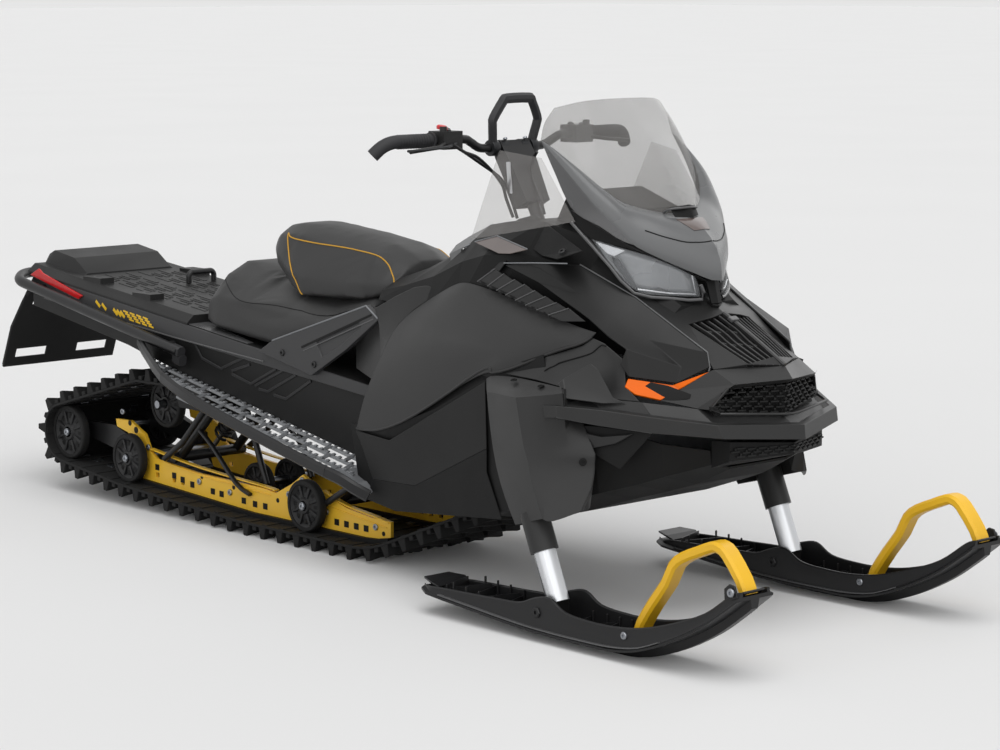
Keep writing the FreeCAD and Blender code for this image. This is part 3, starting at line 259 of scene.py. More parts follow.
def stretched(name, patches, finish, wall=3.0, edge=0.0, across=16, up=10, hides=(), spine=(700.0, 900.0)):
    """Smooth shells, each stretched between four lines of points (x, reach, z in mm) on the right side.

    A patch is its lower line, upper line, rear line and front line; each has its left-hand twin.
    """
    work = bmesh.new()
    for side in (-1, 1):
        for low, high, rear, front in patches:
            rims = [along_line([Vector((x, side * reach, z)) * MM for x, reach, z in line], count)
                    for line, count in ((low, across), (high, across), (rear, up), (front, up))]
            grid = []
            for j in range(up + 1):
                v = j / up
                row = []
                for i in range(across + 1):
                    u = i / across
                    flat = (rims[0][0] * (1 - u) * (1 - v) + rims[0][-1] * u * (1 - v)
                            + rims[1][0] * (1 - u) * v + rims[1][-1] * u * v)
                    row.append(work.verts.new(rims[0][i] * (1 - v) + rims[1][i] * v + rims[2][j] * (1 - u)
                                              + rims[3][j] * u - flat))
                grid.append(row)
            for lower, upper in zip(grid, grid[1:]):
                for i in range(across):
                    work.faces.new((lower[i], lower[i + 1], upper[i + 1], upper[i]))
    bmesh.ops.remove_doubles(work, verts=work.verts, dist=0.0004)
    middle = Vector((spine[0], 0.0, spine[1])) * MM
    for face in work.faces:
        face.normal_update()
        if face.normal.dot(face.calc_center_median() - middle) < 0:
            face.normal_flip()
    mesh = bpy.data.meshes.new(name)
    work.to_mesh(mesh)
    work.free()
    smooth_below(mesh, 28.0)
    thing = show(name, mesh, finish, hides=hides)
    modify(thing, "SOLIDIFY", thickness=wall * MM, offset=-1.0)
    if edge:
        modify(thing, "BEVEL", width=edge * MM, segments=2, limit_method="ANGLE", angle_limit=math.radians(50.0))
    return thing


def rounded_copy(node, finish, edge=1.5, sharp=25.0):
    """The CAD node's own shape with its edges broken, in place of the node."""
    mesh = frame["nodes"][node].data.copy()
    with edited(mesh) as work:
        bmesh.ops.remove_doubles(work, verts=work.verts, dist=0.00005)
        bmesh.ops.dissolve_limit(work, angle_limit=math.radians(0.5), verts=work.verts, edges=work.edges)
    smooth_below(mesh, sharp)
    thing = show(node + "_moulded", mesh, finish, frame["nodes"][node]["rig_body"], (node,))
    modify(thing, "BEVEL", width=edge * MM, segments=2, limit_method="ANGLE",
           angle_limit=math.radians(sharp), harden_normals=True)
    return thing


def curve_points(points, steps=6, closed=False):
    """A smooth run of places through points, by Catmull-Rom."""
    spots = [Vector(point) for point in points]
    count = len(spots)
    run = []
    for i in range(count if closed else count - 1):
        a, b, c, d = (spots[(i + k) % count] if closed else spots[max(0, min(count - 1, i + k))]
                      for k in (-1, 0, 1, 2))
        for step in range(steps):
            t = step / steps
            run.append(0.5 * (2 * b + (c - a) * t + (2 * a - 5 * b + 4 * c - d) * t ** 2
                              + (3 * b - a - 3 * c + d) * t ** 3))
    if not closed:
        run.append(spots[-1])
    return run


def ring_profile(radius, sides=12):
    """A round section."""
    return [(radius * math.cos(2 * math.pi * k / sides), radius * math.sin(2 * math.pi * k / sides))
            for k in range(sides)]


def box_profile(width, height, chamfer):
    """A flat bar's section with broken corners."""
    a, b, c = width / 2, height / 2, chamfer
    return [(a - c, -b), (a, -b + c), (a, b - c), (a - c, b), (-a + c, b), (-a, b - c), (-a, -b + c), (-a + c, -b)]


def sweep(spots, profile, closed=False, upright=(0, 0, 1)):
    """Vertices and faces of a section carried along spots; the section's second axis leans to upright."""
    count, vertices = len(spots), []
    for i, spot in enumerate(spots):
        ahead = spots[(i + 1) % count] if closed or i < count - 1 else spot
        behind = spots[i - 1] if closed or i else spot
        along = (ahead - behind).normalized()
        across = along.cross(Vector(upright)).normalized()
        high = across.cross(along)
        vertices.extend(spot + across * u + high * v for u, v in profile)
    return vertices, loft(count, len(profile), closed)


def mirrored(runs):
    """Runs of points with their twins on the other side of the machine."""
    return list(runs) + [[(x, -y, z) for x, y, z in run] for run in runs]


def bars(name, runs, profile, finish, body="chassis", hides=(), steps=6, closed=False, upright=(0, 0, 1),
         both=False):
    """Tubes or bars of one section along smooth runs of points in mm (x, y, z)."""
    vertices, faces = [], []
    if both:
        runs = mirrored(runs)
    for run in runs:
        spots = [Vector(spot) * MM for spot in run]
        if steps > 1:
            spots = curve_points(spots, steps, closed)
        new, quads = sweep(spots, [(u * MM, v * MM) for u, v in profile], closed, upright)
        faces.extend(tuple(index + len(vertices) for index in quad) for quad in quads)
        vertices.extend(new)
    mesh = new_mesh(name, vertices, faces)
    turn_outwards(mesh)
    smooth_below(mesh, 40.0)
    return show(name, mesh, finish, body, hides)


def repeat_tree():
    """Geometry nodes: a template on each point, turned and sized by the points' own attributes."""
    tree = bpy.data.node_groups.new("repeat_on_points", "GeometryNodeTree")
    for label, kind, way in (("Points", "NodeSocketGeometry", "INPUT"), ("Template", "NodeSocketObject", "INPUT"),
                             ("Finish", "NodeSocketMaterial", "INPUT"),
                             ("Pieces", "NodeSocketGeometry", "OUTPUT")):
        tree.interface.new_socket(label, in_out=way, socket_type=kind)
    given = add(tree, "NodeGroupInput").outputs
    turn = add(tree, "GeometryNodeInputNamedAttribute", {"data_type": "FLOAT_VECTOR"}, {"Name": "turn"})
    scale = add(tree, "GeometryNodeInputNamedAttribute", {"data_type": "FLOAT_VECTOR"}, {"Name": "scale"})
    shape = add(tree, "GeometryNodeObjectInfo", inputs={"Object": given["Template"]})
    placed = add(tree, "GeometryNodeInstanceOnPoints", inputs={
        "Points": given["Points"], "Instance": shape.outputs["Geometry"], "Rotation": turn.outputs[0],
        "Scale": scale.outputs[0]})
    real = add(tree, "GeometryNodeRealizeInstances", inputs={"Geometry": placed.outputs[0]})
    coloured = add(tree, "GeometryNodeSetMaterial", inputs={"Geometry": real.outputs[0],
                                                            "Material": given["Finish"]})
    add(tree, "NodeGroupOutput", inputs={"Pieces": coloured.outputs[0]})
    return tree


REPEAT = repeat_tree()


def template(vertices, faces, edge=0.0):
    """A small shape in mm, kept out of the object, for repeating."""
    mesh = new_mesh("template", [Vector(v) * MM for v in vertices], faces)
    with edited(mesh) as work:
        bmesh.ops.recalc_face_normals(work, faces=work.faces)
        if edge:
            bmesh.ops.bevel(work, geom=work.edges[:], offset=edge * MM, segments=1, affect="EDGES")
    return mesh


def block(length, width, height, edge=0.0, foot=0.0):
    """A block template centred on its foot: length along X, width along Y."""
    a, b = length / 2, width / 2
    corners = [(x, y, z) for z in (foot, foot + height) for x, y in ((-a, -b), (a, -b), (a, b), (-a, b))]
    return template(corners, [(0, 3, 2, 1), (4, 5, 6, 7), (0, 1, 5, 4), (1, 2, 6, 5), (2, 3, 7, 6), (3, 0, 4, 7)],
                    edge)


def disc(radius, height, sides=12, edge=0.0, dimple=0.0):
    """A round head template standing on its foot, with a socket where a dimple is asked for."""
    rings = [(radius, 0.0), (radius, height - edge), (radius - edge, height)]
    if dimple:
        rings += [(dimple, height), (dimple, height * 0.3)]
    return template([(u, v, z) for r, z in rings for u, v in ring_profile(r, sides)], loft(len(rings), sides))


def sideways(place, way=-1, size=1.0):
    """A station that looks out to one side of the machine, the right unless a way is given."""
    return place, (1, 0, 0), (0, way, 0), size


def repeat(name, shape, stations, finish, body="chassis", hides=(), mirror=False, sharp=30.0):
    """Copies of a template at stations: place in mm, forward, up and scale."""
    if mirror:
        stations = list(stations) + [((p[0], -p[1], p[2]), (f[0], -f[1], f[2]), (u[0], -u[1], u[2]), s)
                                     for p, f, u, s in stations]
    points = bpy.data.meshes.new(name)
    points.from_pydata([Vector(place) * MM for place, *_ in stations], [], [])
    turns = points.attributes.new("turn", "FLOAT_VECTOR", "POINT")
    scales = points.attributes.new("scale", "FLOAT_VECTOR", "POINT")
    for i, (_, forward, up_way, scale) in enumerate(stations):
        high = Vector(up_way).normalized()
        ahead = (Vector(forward) - high * Vector(forward).dot(high)).normalized()
        left = high.cross(ahead)
        turn = Matrix((ahead, left, high)).transposed().to_euler()
        turns.data[i].vector = turn
        scales.data[i].vector = scale if hasattr(scale, "__len__") else (scale, scale, scale)
    maker = bpy.data.objects.new(name, points)
    pattern = bpy.data.objects.new("pattern", shape)
    scene.collection.objects.link(maker)
    scene.collection.objects.link(pattern)
    nodes = maker.modifiers.new("repeat", "NODES")
    nodes.node_group = REPEAT
    given = {item.name: item.identifier for item in REPEAT.interface.items_tree if item.in_out == "INPUT"}
    nodes[given["Template"]] = pattern
    nodes[given["Finish"]] = finish
    graph = bpy.context.evaluated_depsgraph_get()
    mesh = bpy.data.meshes.new_from_object(maker.evaluated_get(graph))
    bpy.data.objects.remove(maker)
    bpy.data.objects.remove(pattern)
    smooth_below(mesh, sharp)
    mesh.name = name
    return show(name, mesh, finish, body, hides)


# ------------------------------------------------------------------ finishes
# moulded ABS and polypropylene: charcoal, with a fine spark-eroded grain
BODY_BLACK = surface("grained_abs_black", "#2c2c2c", 0.4, ior=1.38, grain_mm=1.4, grain_depth_mm=0.05)
HOOD_CHARCOAL = surface("satin_abs_charcoal", "#292929", 0.34, ior=1.42, grain_mm=2.0, grain_depth_mm=0.02)
FLANK_CHARCOAL = surface("satin_abs_dark", "#222222", 0.36, ior=1.38, grain_mm=2.0, grain_depth_mm=0.02)
# a darker copy of the hood's charcoal plastic for the hood's sides: painted shade
HOOD_SIDE_SHADE = surface("satin_abs_painted_side_shade", "#181818", 0.36, ior=1.35, grain_mm=2.0, grain_depth_mm=0.02)
# the grained black of the belly, grilles and console; also used for dark sheets and patches that stand in for shade in
# gaps, notches, slots and openings: painted shade
DEEP_BLACK_AND_SHADE = surface("grained_pp_black_and_painted_shade", "#131313", 0.55, ior=1.3, grain_mm=1.2, grain_depth_mm=0.08)
# matt black of the lower panels and nose meshes, darker than the plastic's own tone: real black and painted shade
LOWER_BLACK_AND_SHADE = surface("matt_pp_black_and_painted_shade", "#1f1f1f", 0.5, ior=1.33, grain_mm=1.6, grain_depth_mm=0.05)
# the tunnel's black paint, darkened further: real black and painted shade
TUNNEL_BLACK_AND_SHADE = surface("painted_steel_black_and_painted_shade", "#191919", 0.45, ior=1.32, grain_mm=3.0, grain_depth_mm=0.02)
RACK_BLACK = surface("ribbed_pp_black", "#232323", 0.5, ior=1.35, grain_mm=1.6, grain_depth_mm=0.08)
BRACE_GREY = surface("grained_pp_grey", "#3c3c3d", 0.45, ior=1.4, grain_mm=1.6, grain_depth_mm=0.06)
# the shroud's smoked grey; also used for light lines and plates that stand in for lit edges and tops: painted
# highlights
SHROUD_GREY_AND_HIGHLIGHT = surface("smoked_abs_grey_and_painted_highlight", "#565657", 0.28, grain_mm=2.0, grain_depth_mm=0.01)
# the screen shroud's light grey; also used for the lines on the hood's creases: painted highlights
WING_GREY_AND_HIGHLIGHT = surface("light_abs_grey_and_painted_highlight", "#646566", 0.3, grain_mm=2.0, grain_depth_mm=0.01)
# track and grip rubber: dull, with coarse tooling marks
TRACK_RUBBER = surface("moulded_track_rubber", "#1e1e1e", 0.75, ior=1.35, grain_mm=4.0, grain_depth_mm=0.3, blotch=0.25)
GRIP_RUBBER = surface("soft_grip_rubber", "#29292b", 0.62, grain_mm=2.0, grain_depth_mm=0.15)
WHEEL_BLACK = surface("cast_nylon_black", "#1f1f20", 0.5, ior=1.4, grain_mm=2.0, grain_depth_mm=0.05)
# black powder coat on steel tube
TUBE_BLACK = surface("powder_coat_black", "#1c1c1d", 0.4, ior=1.4, grain_mm=2.2, grain_depth_mm=0.05, coat=0.1)
STEEL = surface("zinc_plated_steel", "#9b9ea3", 0.32, metallic=1.0, grain_mm=3.0, grain_depth_mm=0.02)
# gold anodised rails and moulded yellow loops
RAIL_GOLD = surface("anodised_aluminium_gold", "#fbc437", 0.34, grain_mm=2.5, grain_depth_mm=0.02)
LOOP_YELLOW = surface("moulded_nylon_yellow", "#f3bd20", 0.4, grain_mm=2.0, grain_depth_mm=0.04)
# bright aluminium of the ski legs and lamp parts; also used for the bright strips on the steering riser: painted
# reflection
LEG_METAL_AND_REFLECTION = surface("brushed_aluminium_and_painted_reflection", "#d6d8db", 0.28, metallic=0.9, grain_mm=1.0, grain_depth_mm=0.02,
                    stretch=(1.0, 1.0, 0.05))
BOARD_METAL = surface("pressed_aluminium", "#8b8d90", 0.42, metallic=0.5, grain_mm=2.0, grain_depth_mm=0.05)
# cast aluminium grey of the engine and shocks; also used for the bright line on the side braces' top edges: painted
# highlight
CAST_GREY_AND_HIGHLIGHT = surface("cast_aluminium_grey_and_painted_highlight", "#85878a", 0.5, metallic=0.8, grain_mm=2.0, grain_depth_mm=0.12)
CAST_DARK = surface("cast_aluminium_dark", "#2b2c2e", 0.42, metallic=0.4, grain_mm=2.0, grain_depth_mm=0.1)
# a lighter copy of the tunnel's black for its pressed ribs: painted highlights
TUNNEL_RIB_HIGHLIGHT = surface("painted_rib_highlight", "#2a2a2b", 0.4, ior=1.4, grain_mm=3.0, grain_depth_mm=0.02)
STRIPE_YELLOW = surface("printed_vinyl_yellow", "#f4c52a", 0.4, grain_mm=4.0, grain_depth_mm=0.01)
SWITCH_RED = surface("moulded_abs_red", "#d3232b", 0.35, grain_mm=2.0, grain_depth_mm=0.03)
SKI_BLACK = surface("uhmw_polyethylene_black", "#1d1d1e", 0.4, ior=1.4, grain_mm=2.0, grain_depth_mm=0.03)
SEAT_VINYL = surface("coated_seat_vinyl", "#333333", 0.5, ior=1.4, grain_mm=2.4, grain_depth_mm=0.25)
LAMP_SILVER = surface("metallised_reflector", "#808284", 0.3, metallic=0.6, grain_mm=6.0, grain_depth_mm=0.02)
WINDOW_SMOKE = surface("smoked_acrylic_brown", "#6a5f5c", 0.15, grain_mm=6.0, grain_depth_mm=0.01)
SEAM_GOLD = surface("braided_piping_gold", "#c8962a", 0.6, grain_mm=1.5, grain_depth_mm=0.15)
LAMP_RED = surface("clear_red_acrylic", "#c8161a", 0.15, grain_mm=6.0, grain_depth_mm=0.1)
MARKER_ORANGE = surface("amber_acrylic", "#ee6a00", 0.35, ior=1.3, grain_mm=6.0, grain_depth_mm=0.1)
SCREEN_CLEAR = clear_plastic("smoked_polycarbonate", "#83817f", 0.36)
PANE_CLEAR = clear_plastic("clear_polycarbonate", "#a8a5a3", 0.2)
LENS_CLEAR = clear_plastic("lamp_polycarbonate", "#dfe2e6", 0.1)

# each CAD node's finish, for those that stay in view
FINISHES = {
    TRACK_RUBBER: ["track", "snow_flap"],
    WHEEL_BLACK: ["idler_wheels", "rear_wheels", "drive_axle"],
    STEEL: ["cross_shafts"],
    RAIL_GOLD: ["slide_rails"],
    DEEP_BLACK_AND_SHADE: ["slide_shoes", "lower_panels", "belly_pan", "nose_grilles", "console", "instrument"],
    TUNNEL_BLACK_AND_SHADE: ["tunnel"],
    BOARD_METAL: ["running_boards"],
    RACK_BLACK: ["cargo_deck"],
    BRACE_GREY: ["tunnel_skirts", "side_braces"],
    TUBE_BLACK: ["rear_bumper", "handlebar", "cargo_hook", "suspension_arms", "tail_arms", "steering_riser"],
    LAMP_RED: ["tail_lamps"],
    SEAT_VINYL: ["seat_base", "seat_cushion"],
    BODY_BLACK: ["side_panels", "front_bumper", "strut_housings", "strut_collar_right", "strut_collar_left",
                 "control_blocks"],
    HOOD_CHARCOAL: ["hood", "hood_sides", "nose_cowl"],
    MARKER_ORANGE: ["side_markers"],
    SKI_BLACK: ["ski_right", "ski_left"],
    LOOP_YELLOW: ["ski_loop_right", "ski_loop_left"],
    LEG_METAL_AND_REFLECTION: ["ski_leg_right", "ski_leg_left"],
    GRIP_RUBBER: ["grips", "grab_strap"],
    SHROUD_GREY_AND_HIGHLIGHT: ["windshield_shroud"],
    WING_GREY_AND_HIGHLIGHT: ["screen_wings"],
    SCREEN_CLEAR: ["windshield"],
    PANE_CLEAR: ["side_deflectors"],
    LENS_CLEAR: ["headlamps"],
    CAST_GREY_AND_HIGHLIGHT: ["engine_block", "shock_absorbers"],
}
for finish, names in FINISHES.items():
    for name in names:
        mesh = frame["nodes"][name].data
        mesh.materials.clear()
        mesh.materials.append(finish)


# ------------------------------------------------------------------ body panels
SIDE = {
    "rearU": (365, 214, 717), "toprear": (470, 222, 767), "v0": (521, 226, 772), "v1": (708, 248, 746),
    "v2": (908, 272, 708), "v3": (1014, 286, 698), "s0": (370, 262, 664), "s1": (520, 262, 740),
    "s2": (721, 285, 717), "s3": (913, 300, 694), "m3": (943, 330, 678), "m2": (797, 350, 635),
    "r1": (261, 240, 652), "r2": (256, 288, 562), "r3": (230, 318, 479), "r4": (211, 330, 384),
    "e0": (352, 342, 386), "e1": (684, 352, 578), "e2": (737, 354, 581), "e3": (782, 354, 588),
    "e4": (907, 342, 639), "e5": (986, 306, 669), "e6": (1006, 290, 686), "n0": (505, 346, 520),
    "n1": (406, 318, 617),
}
facets("side_panels_skin", SIDE, [
    "rearU toprear s1 s0", "toprear v0 s1", "v0 v1 s2 s1", "v1 v2 s3 s2", "v2 v3 e6 s3", "s0 s1 m2", "s1 s2 m2",
    "s2 s3 m3", "s2 m3 m2", "rearU s0 r1", "r1 s0 n1 r2", "s0 m2 n1", "n1 m2 n0", "r2 n1 n0 r3", "r3 n0 e0 r4",
    "n0 m2 e1 e0", "m2 e2 e1", "m2 e3 e2", "m2 m3 e4 e3", "m3 s3 e6 e5", "m3 e5 e4"],
    BODY_BLACK, edge=3.0, sharp=32.0, hides=("side_panels",), soft=2, crease=0.35)
LOWER = {
    "g0": (206, 328, 378), "g1": (348, 340, 371), "g2": (712, 354, 558), "k0": (424, 322, 265),
    "k1": (711, 348, 396), "k2": (708, 345, 338), "r0": (222, 322, 341), "r1": (243, 304, 256),
    "r2": (199, 290, 197), "b1": (322, 298, 184), "b3": (754, 338, 229),
}
# the lower panel in two tones: its upper facets in the darkened matt black, its lower facets darker still: painted
# shade on the panel's underside
facets("lower_panel_skins", LOWER, ["g0 g1 k0 r0", "r0 k0 r1", "g1 g2 k1 k0"], LOWER_BLACK_AND_SHADE, edge=3.0, sharp=22.0,
       wall=3.0)
facets("lower_panel_feet", LOWER, ["r1 k0 b1 r2", "k0 k1 k2", "k0 k2 b3 b1"], DEEP_BLACK_AND_SHADE, edge=3.0, sharp=22.0,
       wall=3.0)
# dark sheet behind the joint of the two side panels, with the housing: painted shade of the inside seen through the
# joint
facets("panel_backing", {"a": (206, 316, 390), "b": (348, 326, 398), "c": (684, 338, 600), "d": (806, 340, 604),
                         "e": (840, 345, 364), "f": (711, 336, 330), "g": (424, 312, 262), "h": (206, 305, 300),
                         "i": (830, 332, 648), "j": (965, 300, 668), "k": (985, 330, 566)},
       ["a b g h", "b c f g", "c d e f", "c i j k d"], DEEP_BLACK_AND_SHADE, wall=2.0, edge=0.0)
HOUSING = {
    "t0": (721, 360, 571), "t1": (784, 356, 584), "t2": (1018, 400, 581), "t3": (1038, 416, 572),
    "t4": (918, 450, 554), "t5": (765, 400, 549), "a1": (811, 420, 364), "a2": (884, 420, 246),
    "b1": (959, 456, 401), "b2": (1012, 452, 284), "c1": (1029, 398, 497), "c2": (1033, 390, 453),
    "c3": (1083, 370, 350), "c4": (1075, 392, 302), "c5": (1024, 446, 272), "tab0": (998, 430, 420),
    "tab2": (1082, 356, 430), "tab3": (1080, 356, 396), "i1": (800, 352, 364), "i2": (884, 352, 246),
    "j1": (1000, 350, 560), "j2": (1060, 352, 300),
}
facets("strut_housing_skins", HOUSING, [
    "t0 t1 t4 t5", "t1 t2 t3 t4", "t5 t4 b1 a1", "a1 b1 b2 a2", "t0 t5 a1 i1", "i1 a1 a2 i2", "t4 t3 c1 b1",
    "b1 c1 c2 tab0", "c2 tab2 tab0", "tab0 tab2 tab3", "b1 tab0 tab3 c3", "b1 c3 c5 b2", "c3 c4 c5",
    "t3 t2 j1 c1", "c1 j1 tab2 c2", "tab2 j1 j2 tab3", "tab3 j2 c4 c3"],
    BODY_BLACK, edge=2.5, sharp=28.0, hides=("strut_housings",), soft=2, crease=0.55)
repeat("housing_bolts", disc(9.0, 3.0, sides=14, edge=1.0, dimple=4.5),
       [((1062, -374, 412), (1, 0, 0), (0.75, -0.66, 0), 1.0), ((852, -392, 579.5), (1, 0, 0), (0, -0.15, 1), 0.9),
        ((955, -404, 577.5), (1, 0, 0), (0, -0.1, 1), 0.9)], DEEP_BLACK_AND_SHADE, mirror=True)
FENDER = {
    "a": (778, 350, 583), "b": (895, 366, 583), "c": (922, 345, 617), "d": (1008, 298, 660),
    "e": (1019, 288, 681), "g": (999, 372, 576), "h": (1039, 284, 674), "i": (1045, 284, 640),
    "j": (1034, 300, 607), "k": (1025, 332, 553), "l": (973, 335, 595), "m": (1078, 284, 627),
    "n": (1078, 290, 575), "E3": (782, 350, 586), "E4": (907, 338, 636), "E5": (986, 302, 666),
    "E6": (1006, 287, 684), "o": (1112, 288, 582), "p": (1155, 285, 552), "q": (1100, 280, 640),
}
facets("fender_skins", FENDER, [
    "E3 E4 c b a", "E4 E5 d c", "E5 E6 e d", "b c l g", "c d i l", "d e h i", "l i j", "l j k g", "i m n j",
    "j n k", "h q m i", "m q o n", "n o p k"], BODY_BLACK, edge=3.0, sharp=44.0, spine=420.0)
# dark sheet behind the fender: painted shade of the inside seen through its gaps
facets("fender_backing", {"a": (800, 340, 580), "b": (900, 345, 590), "c": (990, 296, 640), "d": (1010, 272, 664),
                          "g": (1040, 320, 540), "h": (1000, 366, 552)},
       ["a b g h", "b c g", "c d g"], DEEP_BLACK_AND_SHADE, wall=2.0, edge=0.0, spine=420.0)
facets("fender_shelf", {"a": (1001, 378, 597), "b": (1050, 338, 634), "c": (1069, 334, 622), "d": (1108, 324, 560),
                        "e": (1090, 340, 546), "f": (1027, 392, 556), "g": (1003, 396, 588), "h": (1131, 306, 548)},
       ["a b c d", "a d e f", "a f g", "d h e"], BODY_BLACK, wall=3.0, edge=2.0, sharp=44.0, spine=420.0)
# dark sheets behind panel joints: painted shade of the inside seen through them
facets("joint_backing", {"a": (690, 349, 572), "b": (790, 350, 604), "c": (900, 344, 640), "d": (930, 352, 566),
                         "e": (780, 350, 560), "f": (1112, 280, 570), "g": (1180, 236, 548), "h": (1236, 176, 560),
                         "i": (1110, 270, 600), "j": (1180, 220, 585)},
       ["a b c d e", "i j g f", "j h g"], DEEP_BLACK_AND_SHADE, wall=1.5, edge=0.0, spine=420.0)
UNDER_NOSE = {"s0": (1001, 372, 490), "s1": (1048, 345, 467), "s2": (1066, 340, 425), "s3": (1127, 320, 396),
              "b1": (1077, 338, 492), "b2": (1190, 278, 483)}
facets("under_nose_panels", UNDER_NOSE, ["s0 b1 s1", "b1 b2 s3 s2 s1"], DEEP_BLACK_AND_SHADE, wall=3.0, edge=2.0,
       sharp=40.0, spine=420.0)
facets("bumper_mounts", {"a": (994, 378, 484), "b": (998, 376, 452), "c": (1012, 368, 442), "d": (1066, 350, 440),
                         "e": (1122, 326, 456), "f": (1154, 304, 480), "g": (1090, 344, 470)},
       ["a b c g", "c d g", "d e g", "e f g"], BODY_BLACK, wall=6.0, edge=3.0, sharp=44.0, spine=520.0)
FLANK = {
    "rear": (706, 226, 830), "c0": (876, 200, 837), "c1": (1022, 160, 768), "c2": (1231, 142, 658),
    "c3": (1238, 142, 626), "bot": (1183, 195, 588), "mul": (1119, 285, 605), "l2": (1096, 290, 632),
    "l1": (1107, 280, 667), "B0": (643, 225, 821), "B1": (785, 245, 790), "B2": (981, 275, 725),
    "B3": (1050, 280, 691), "A0": (775, 235, 824), "A1": (907, 240, 778), "A2": (1018, 225, 738),
    "A3": (1105, 200, 680), "A4": (1182, 178, 624),
}
# the hood's sides, in the darker copy of its plastic: painted shade
facets("hood_flank_skins", FLANK, [
    "rear c0 A1 A0", "c0 c1 A2 A1", "c1 c2 A3 A2", "c2 c3 A4 A3", "rear A0 B1 B0", "A0 A1 B1", "A1 A2 B2 B1",
    "A2 B3 B2", "A2 A3 l1 B3", "A3 A4 l1", "A4 c3 bot", "l1 A4 bot mul", "l1 mul l2"],
    HOOD_SIDE_SHADE, edge=2.0, sharp=36.0, spine=600.0, hides=("hood_sides",))
HOOD_TOP = {
    "k0": (1022, 156, 766), "k1": (1116, 146, 718), "k2": (1231, 139, 640), "k3": (1254, 147, 623),
    "x0": (1050, 0, 786), "x1": (1121, 0, 748), "x2": (1150, 0, 731), "x3": (1311, 0, 646), "x4": (1339, 0, 628),
    "g0": (1135, 104, 712), "g1": (1298, 78, 633), "g2": (1155, 52, 724),
}
facets("hood_top_skin", HOOD_TOP, [
    "k0 k1 x1 x0", "k1 g0 g2 x2 x1", "k1 k2 g0", "k2 k3 g1", "k2 g1 g0", "k3 x4 g1", "g1 x4 x3"],
    FLANK_CHARCOAL, edge=1.5, sharp=20.0, spine=600.0, hides=("hood",))
COWL = {
    "c": (1244, 151, 617), "topR": (1254, 147, 622), "topM": (1339, 0, 627), "lipR": (1312, 140, 593),
    "lipM": (1363, 0, 598), "inR": (1300, 148, 584), "inM": (1348, 0, 588), "opL": (1277, 185, 536),
    "cap": (1243, 190, 536), "d": (1192, 196, 573), "e": (1176, 239, 552), "opM": (1338, 0, 512),
    "f": (1137, 281, 566), "g": (1112, 288, 581),
}
facets("nose_band_skin", COWL, [
    "topR topM lipM lipR", "lipR lipM inM inR", "c topR lipR d", "d lipR cap e", "lipR inR opL cap"],
    HOOD_CHARCOAL, edge=2.0, sharp=20.0, spine=560.0, hides=("nose_cowl",))
MARKER = {"a": (1118, 285, 601), "b": (1177, 201, 584), "c": (1246, 151, 618), "d": (1193, 197, 575),
          "e": (1178, 241, 554), "f": (1138, 283, 567), "g": (1112, 290, 582)}
facets("side_marker_lenses", MARKER, ["a b e f g", "b c d", "b d e"], MARKER_ORANGE, wall=8.0, edge=1.5,
       hides=("side_markers",), spine=500.0)
BUMPER = {
    "u0": (1021, 420, 541), "u1": (1102, 358, 534), "u2": (1198, 292, 521), "u3": (1322, 206, 508),
    "u4": (1401, 0, 497), "d0": (1021, 420, 514), "d1": (1104, 358, 499), "d2": (1200, 292, 485),
    "d3": (1334, 198, 477), "d4": (1405, 0, 463), "v0": (1010, 408, 543), "v1": (1092, 344, 537),
    "v2": (1188, 279, 524), "v3": (1310, 196, 511), "v4": (1384, 0, 500), "w1": (1084, 336, 530),
    "w2": (1180, 271, 517), "w3": (1300, 188, 502), "w4": (1370, 0, 490), "s1": (1034, 330, 553),
    "s2": (1160, 284, 551), "s3": (1246, 192, 536), "s4": (1335, 0, 511), "b0": (1000, 380, 516),
    "b2": (1150, 250, 492), "b3": (1260, 150, 482), "b4": (1330, 0, 470), "end": (990, 432, 540),
    "end2": (996, 432, 512),
}
facets("front_bumper_skin", BUMPER, [
    "u0 u1 d1 d0", "u1 u2 d2 d1", "u2 u3 d3 d2", "u3 u4 d4 d3", "u0 v0 v1 u1", "u1 v1 v2 u2", "u2 v2 v3 u3",
    "u3 v3 v4 u4", "v1 w1 w2 v2", "v2 w2 w3 v3", "v3 w3 w4 v4", "w1 s1 s2 w2", "w2 s2 s3 w3", "w3 s3 s4 w4",
    "v0 s1 w1 v1", "d0 d1 b0", "d1 d2 b2 b0", "d2 d3 b3 b2", "d3 d4 b4 b3", "end u0 d0 end2", "end v0 u0"],
    BODY_BLACK, edge=3.0, sharp=20.0, spine=495.0, hides=("front_bumper",))


# ------------------------------------------------------------------ nose: grilles, marker lines and vents
def on_hood(u, v, lift=0.0):
    """A place on the right half of the hood's grille: u from its rear to its front, v from the middle out."""
    corners = ((1150, 0, 731), (1135, 104, 712), (1339, 0, 628), (1298, 78, 633))
    weights = ((1 - u) * (1 - v), (1 - u) * v, u * (1 - v), u * v)
    x, reach, z = (sum(w * c[k] for w, c in zip(weights, corners)) for k in range(3))
    return (x + 0.46 * lift, -reach, z + 0.88 * lift)


def grille_pan():
    """The dark tray that the hood's fins stand in: painted shade of the opening under them."""
    rim = [on_hood(u, v, -2.0) for u, v in ((0.0, 0.0), (0.0, 1.0), (1.0, 1.0), (1.0, 0.0))]
    tray = [on_hood(u, v, -30.0) for u, v in ((0.04, 0.0), (0.04, 0.92), (0.94, 0.9), (0.94, 0.0))]
    points = {key: (x, -y, z) for key, (x, y, z) in zip("abcdefgh", rim + tray)}
    return facets("hood_grille_pan", points, ["e f g h", "a b f e", "b c g f", "c d h g"], DEEP_BLACK_AND_SHADE, wall=2.0,
                  edge=0.0, spine=200.0)


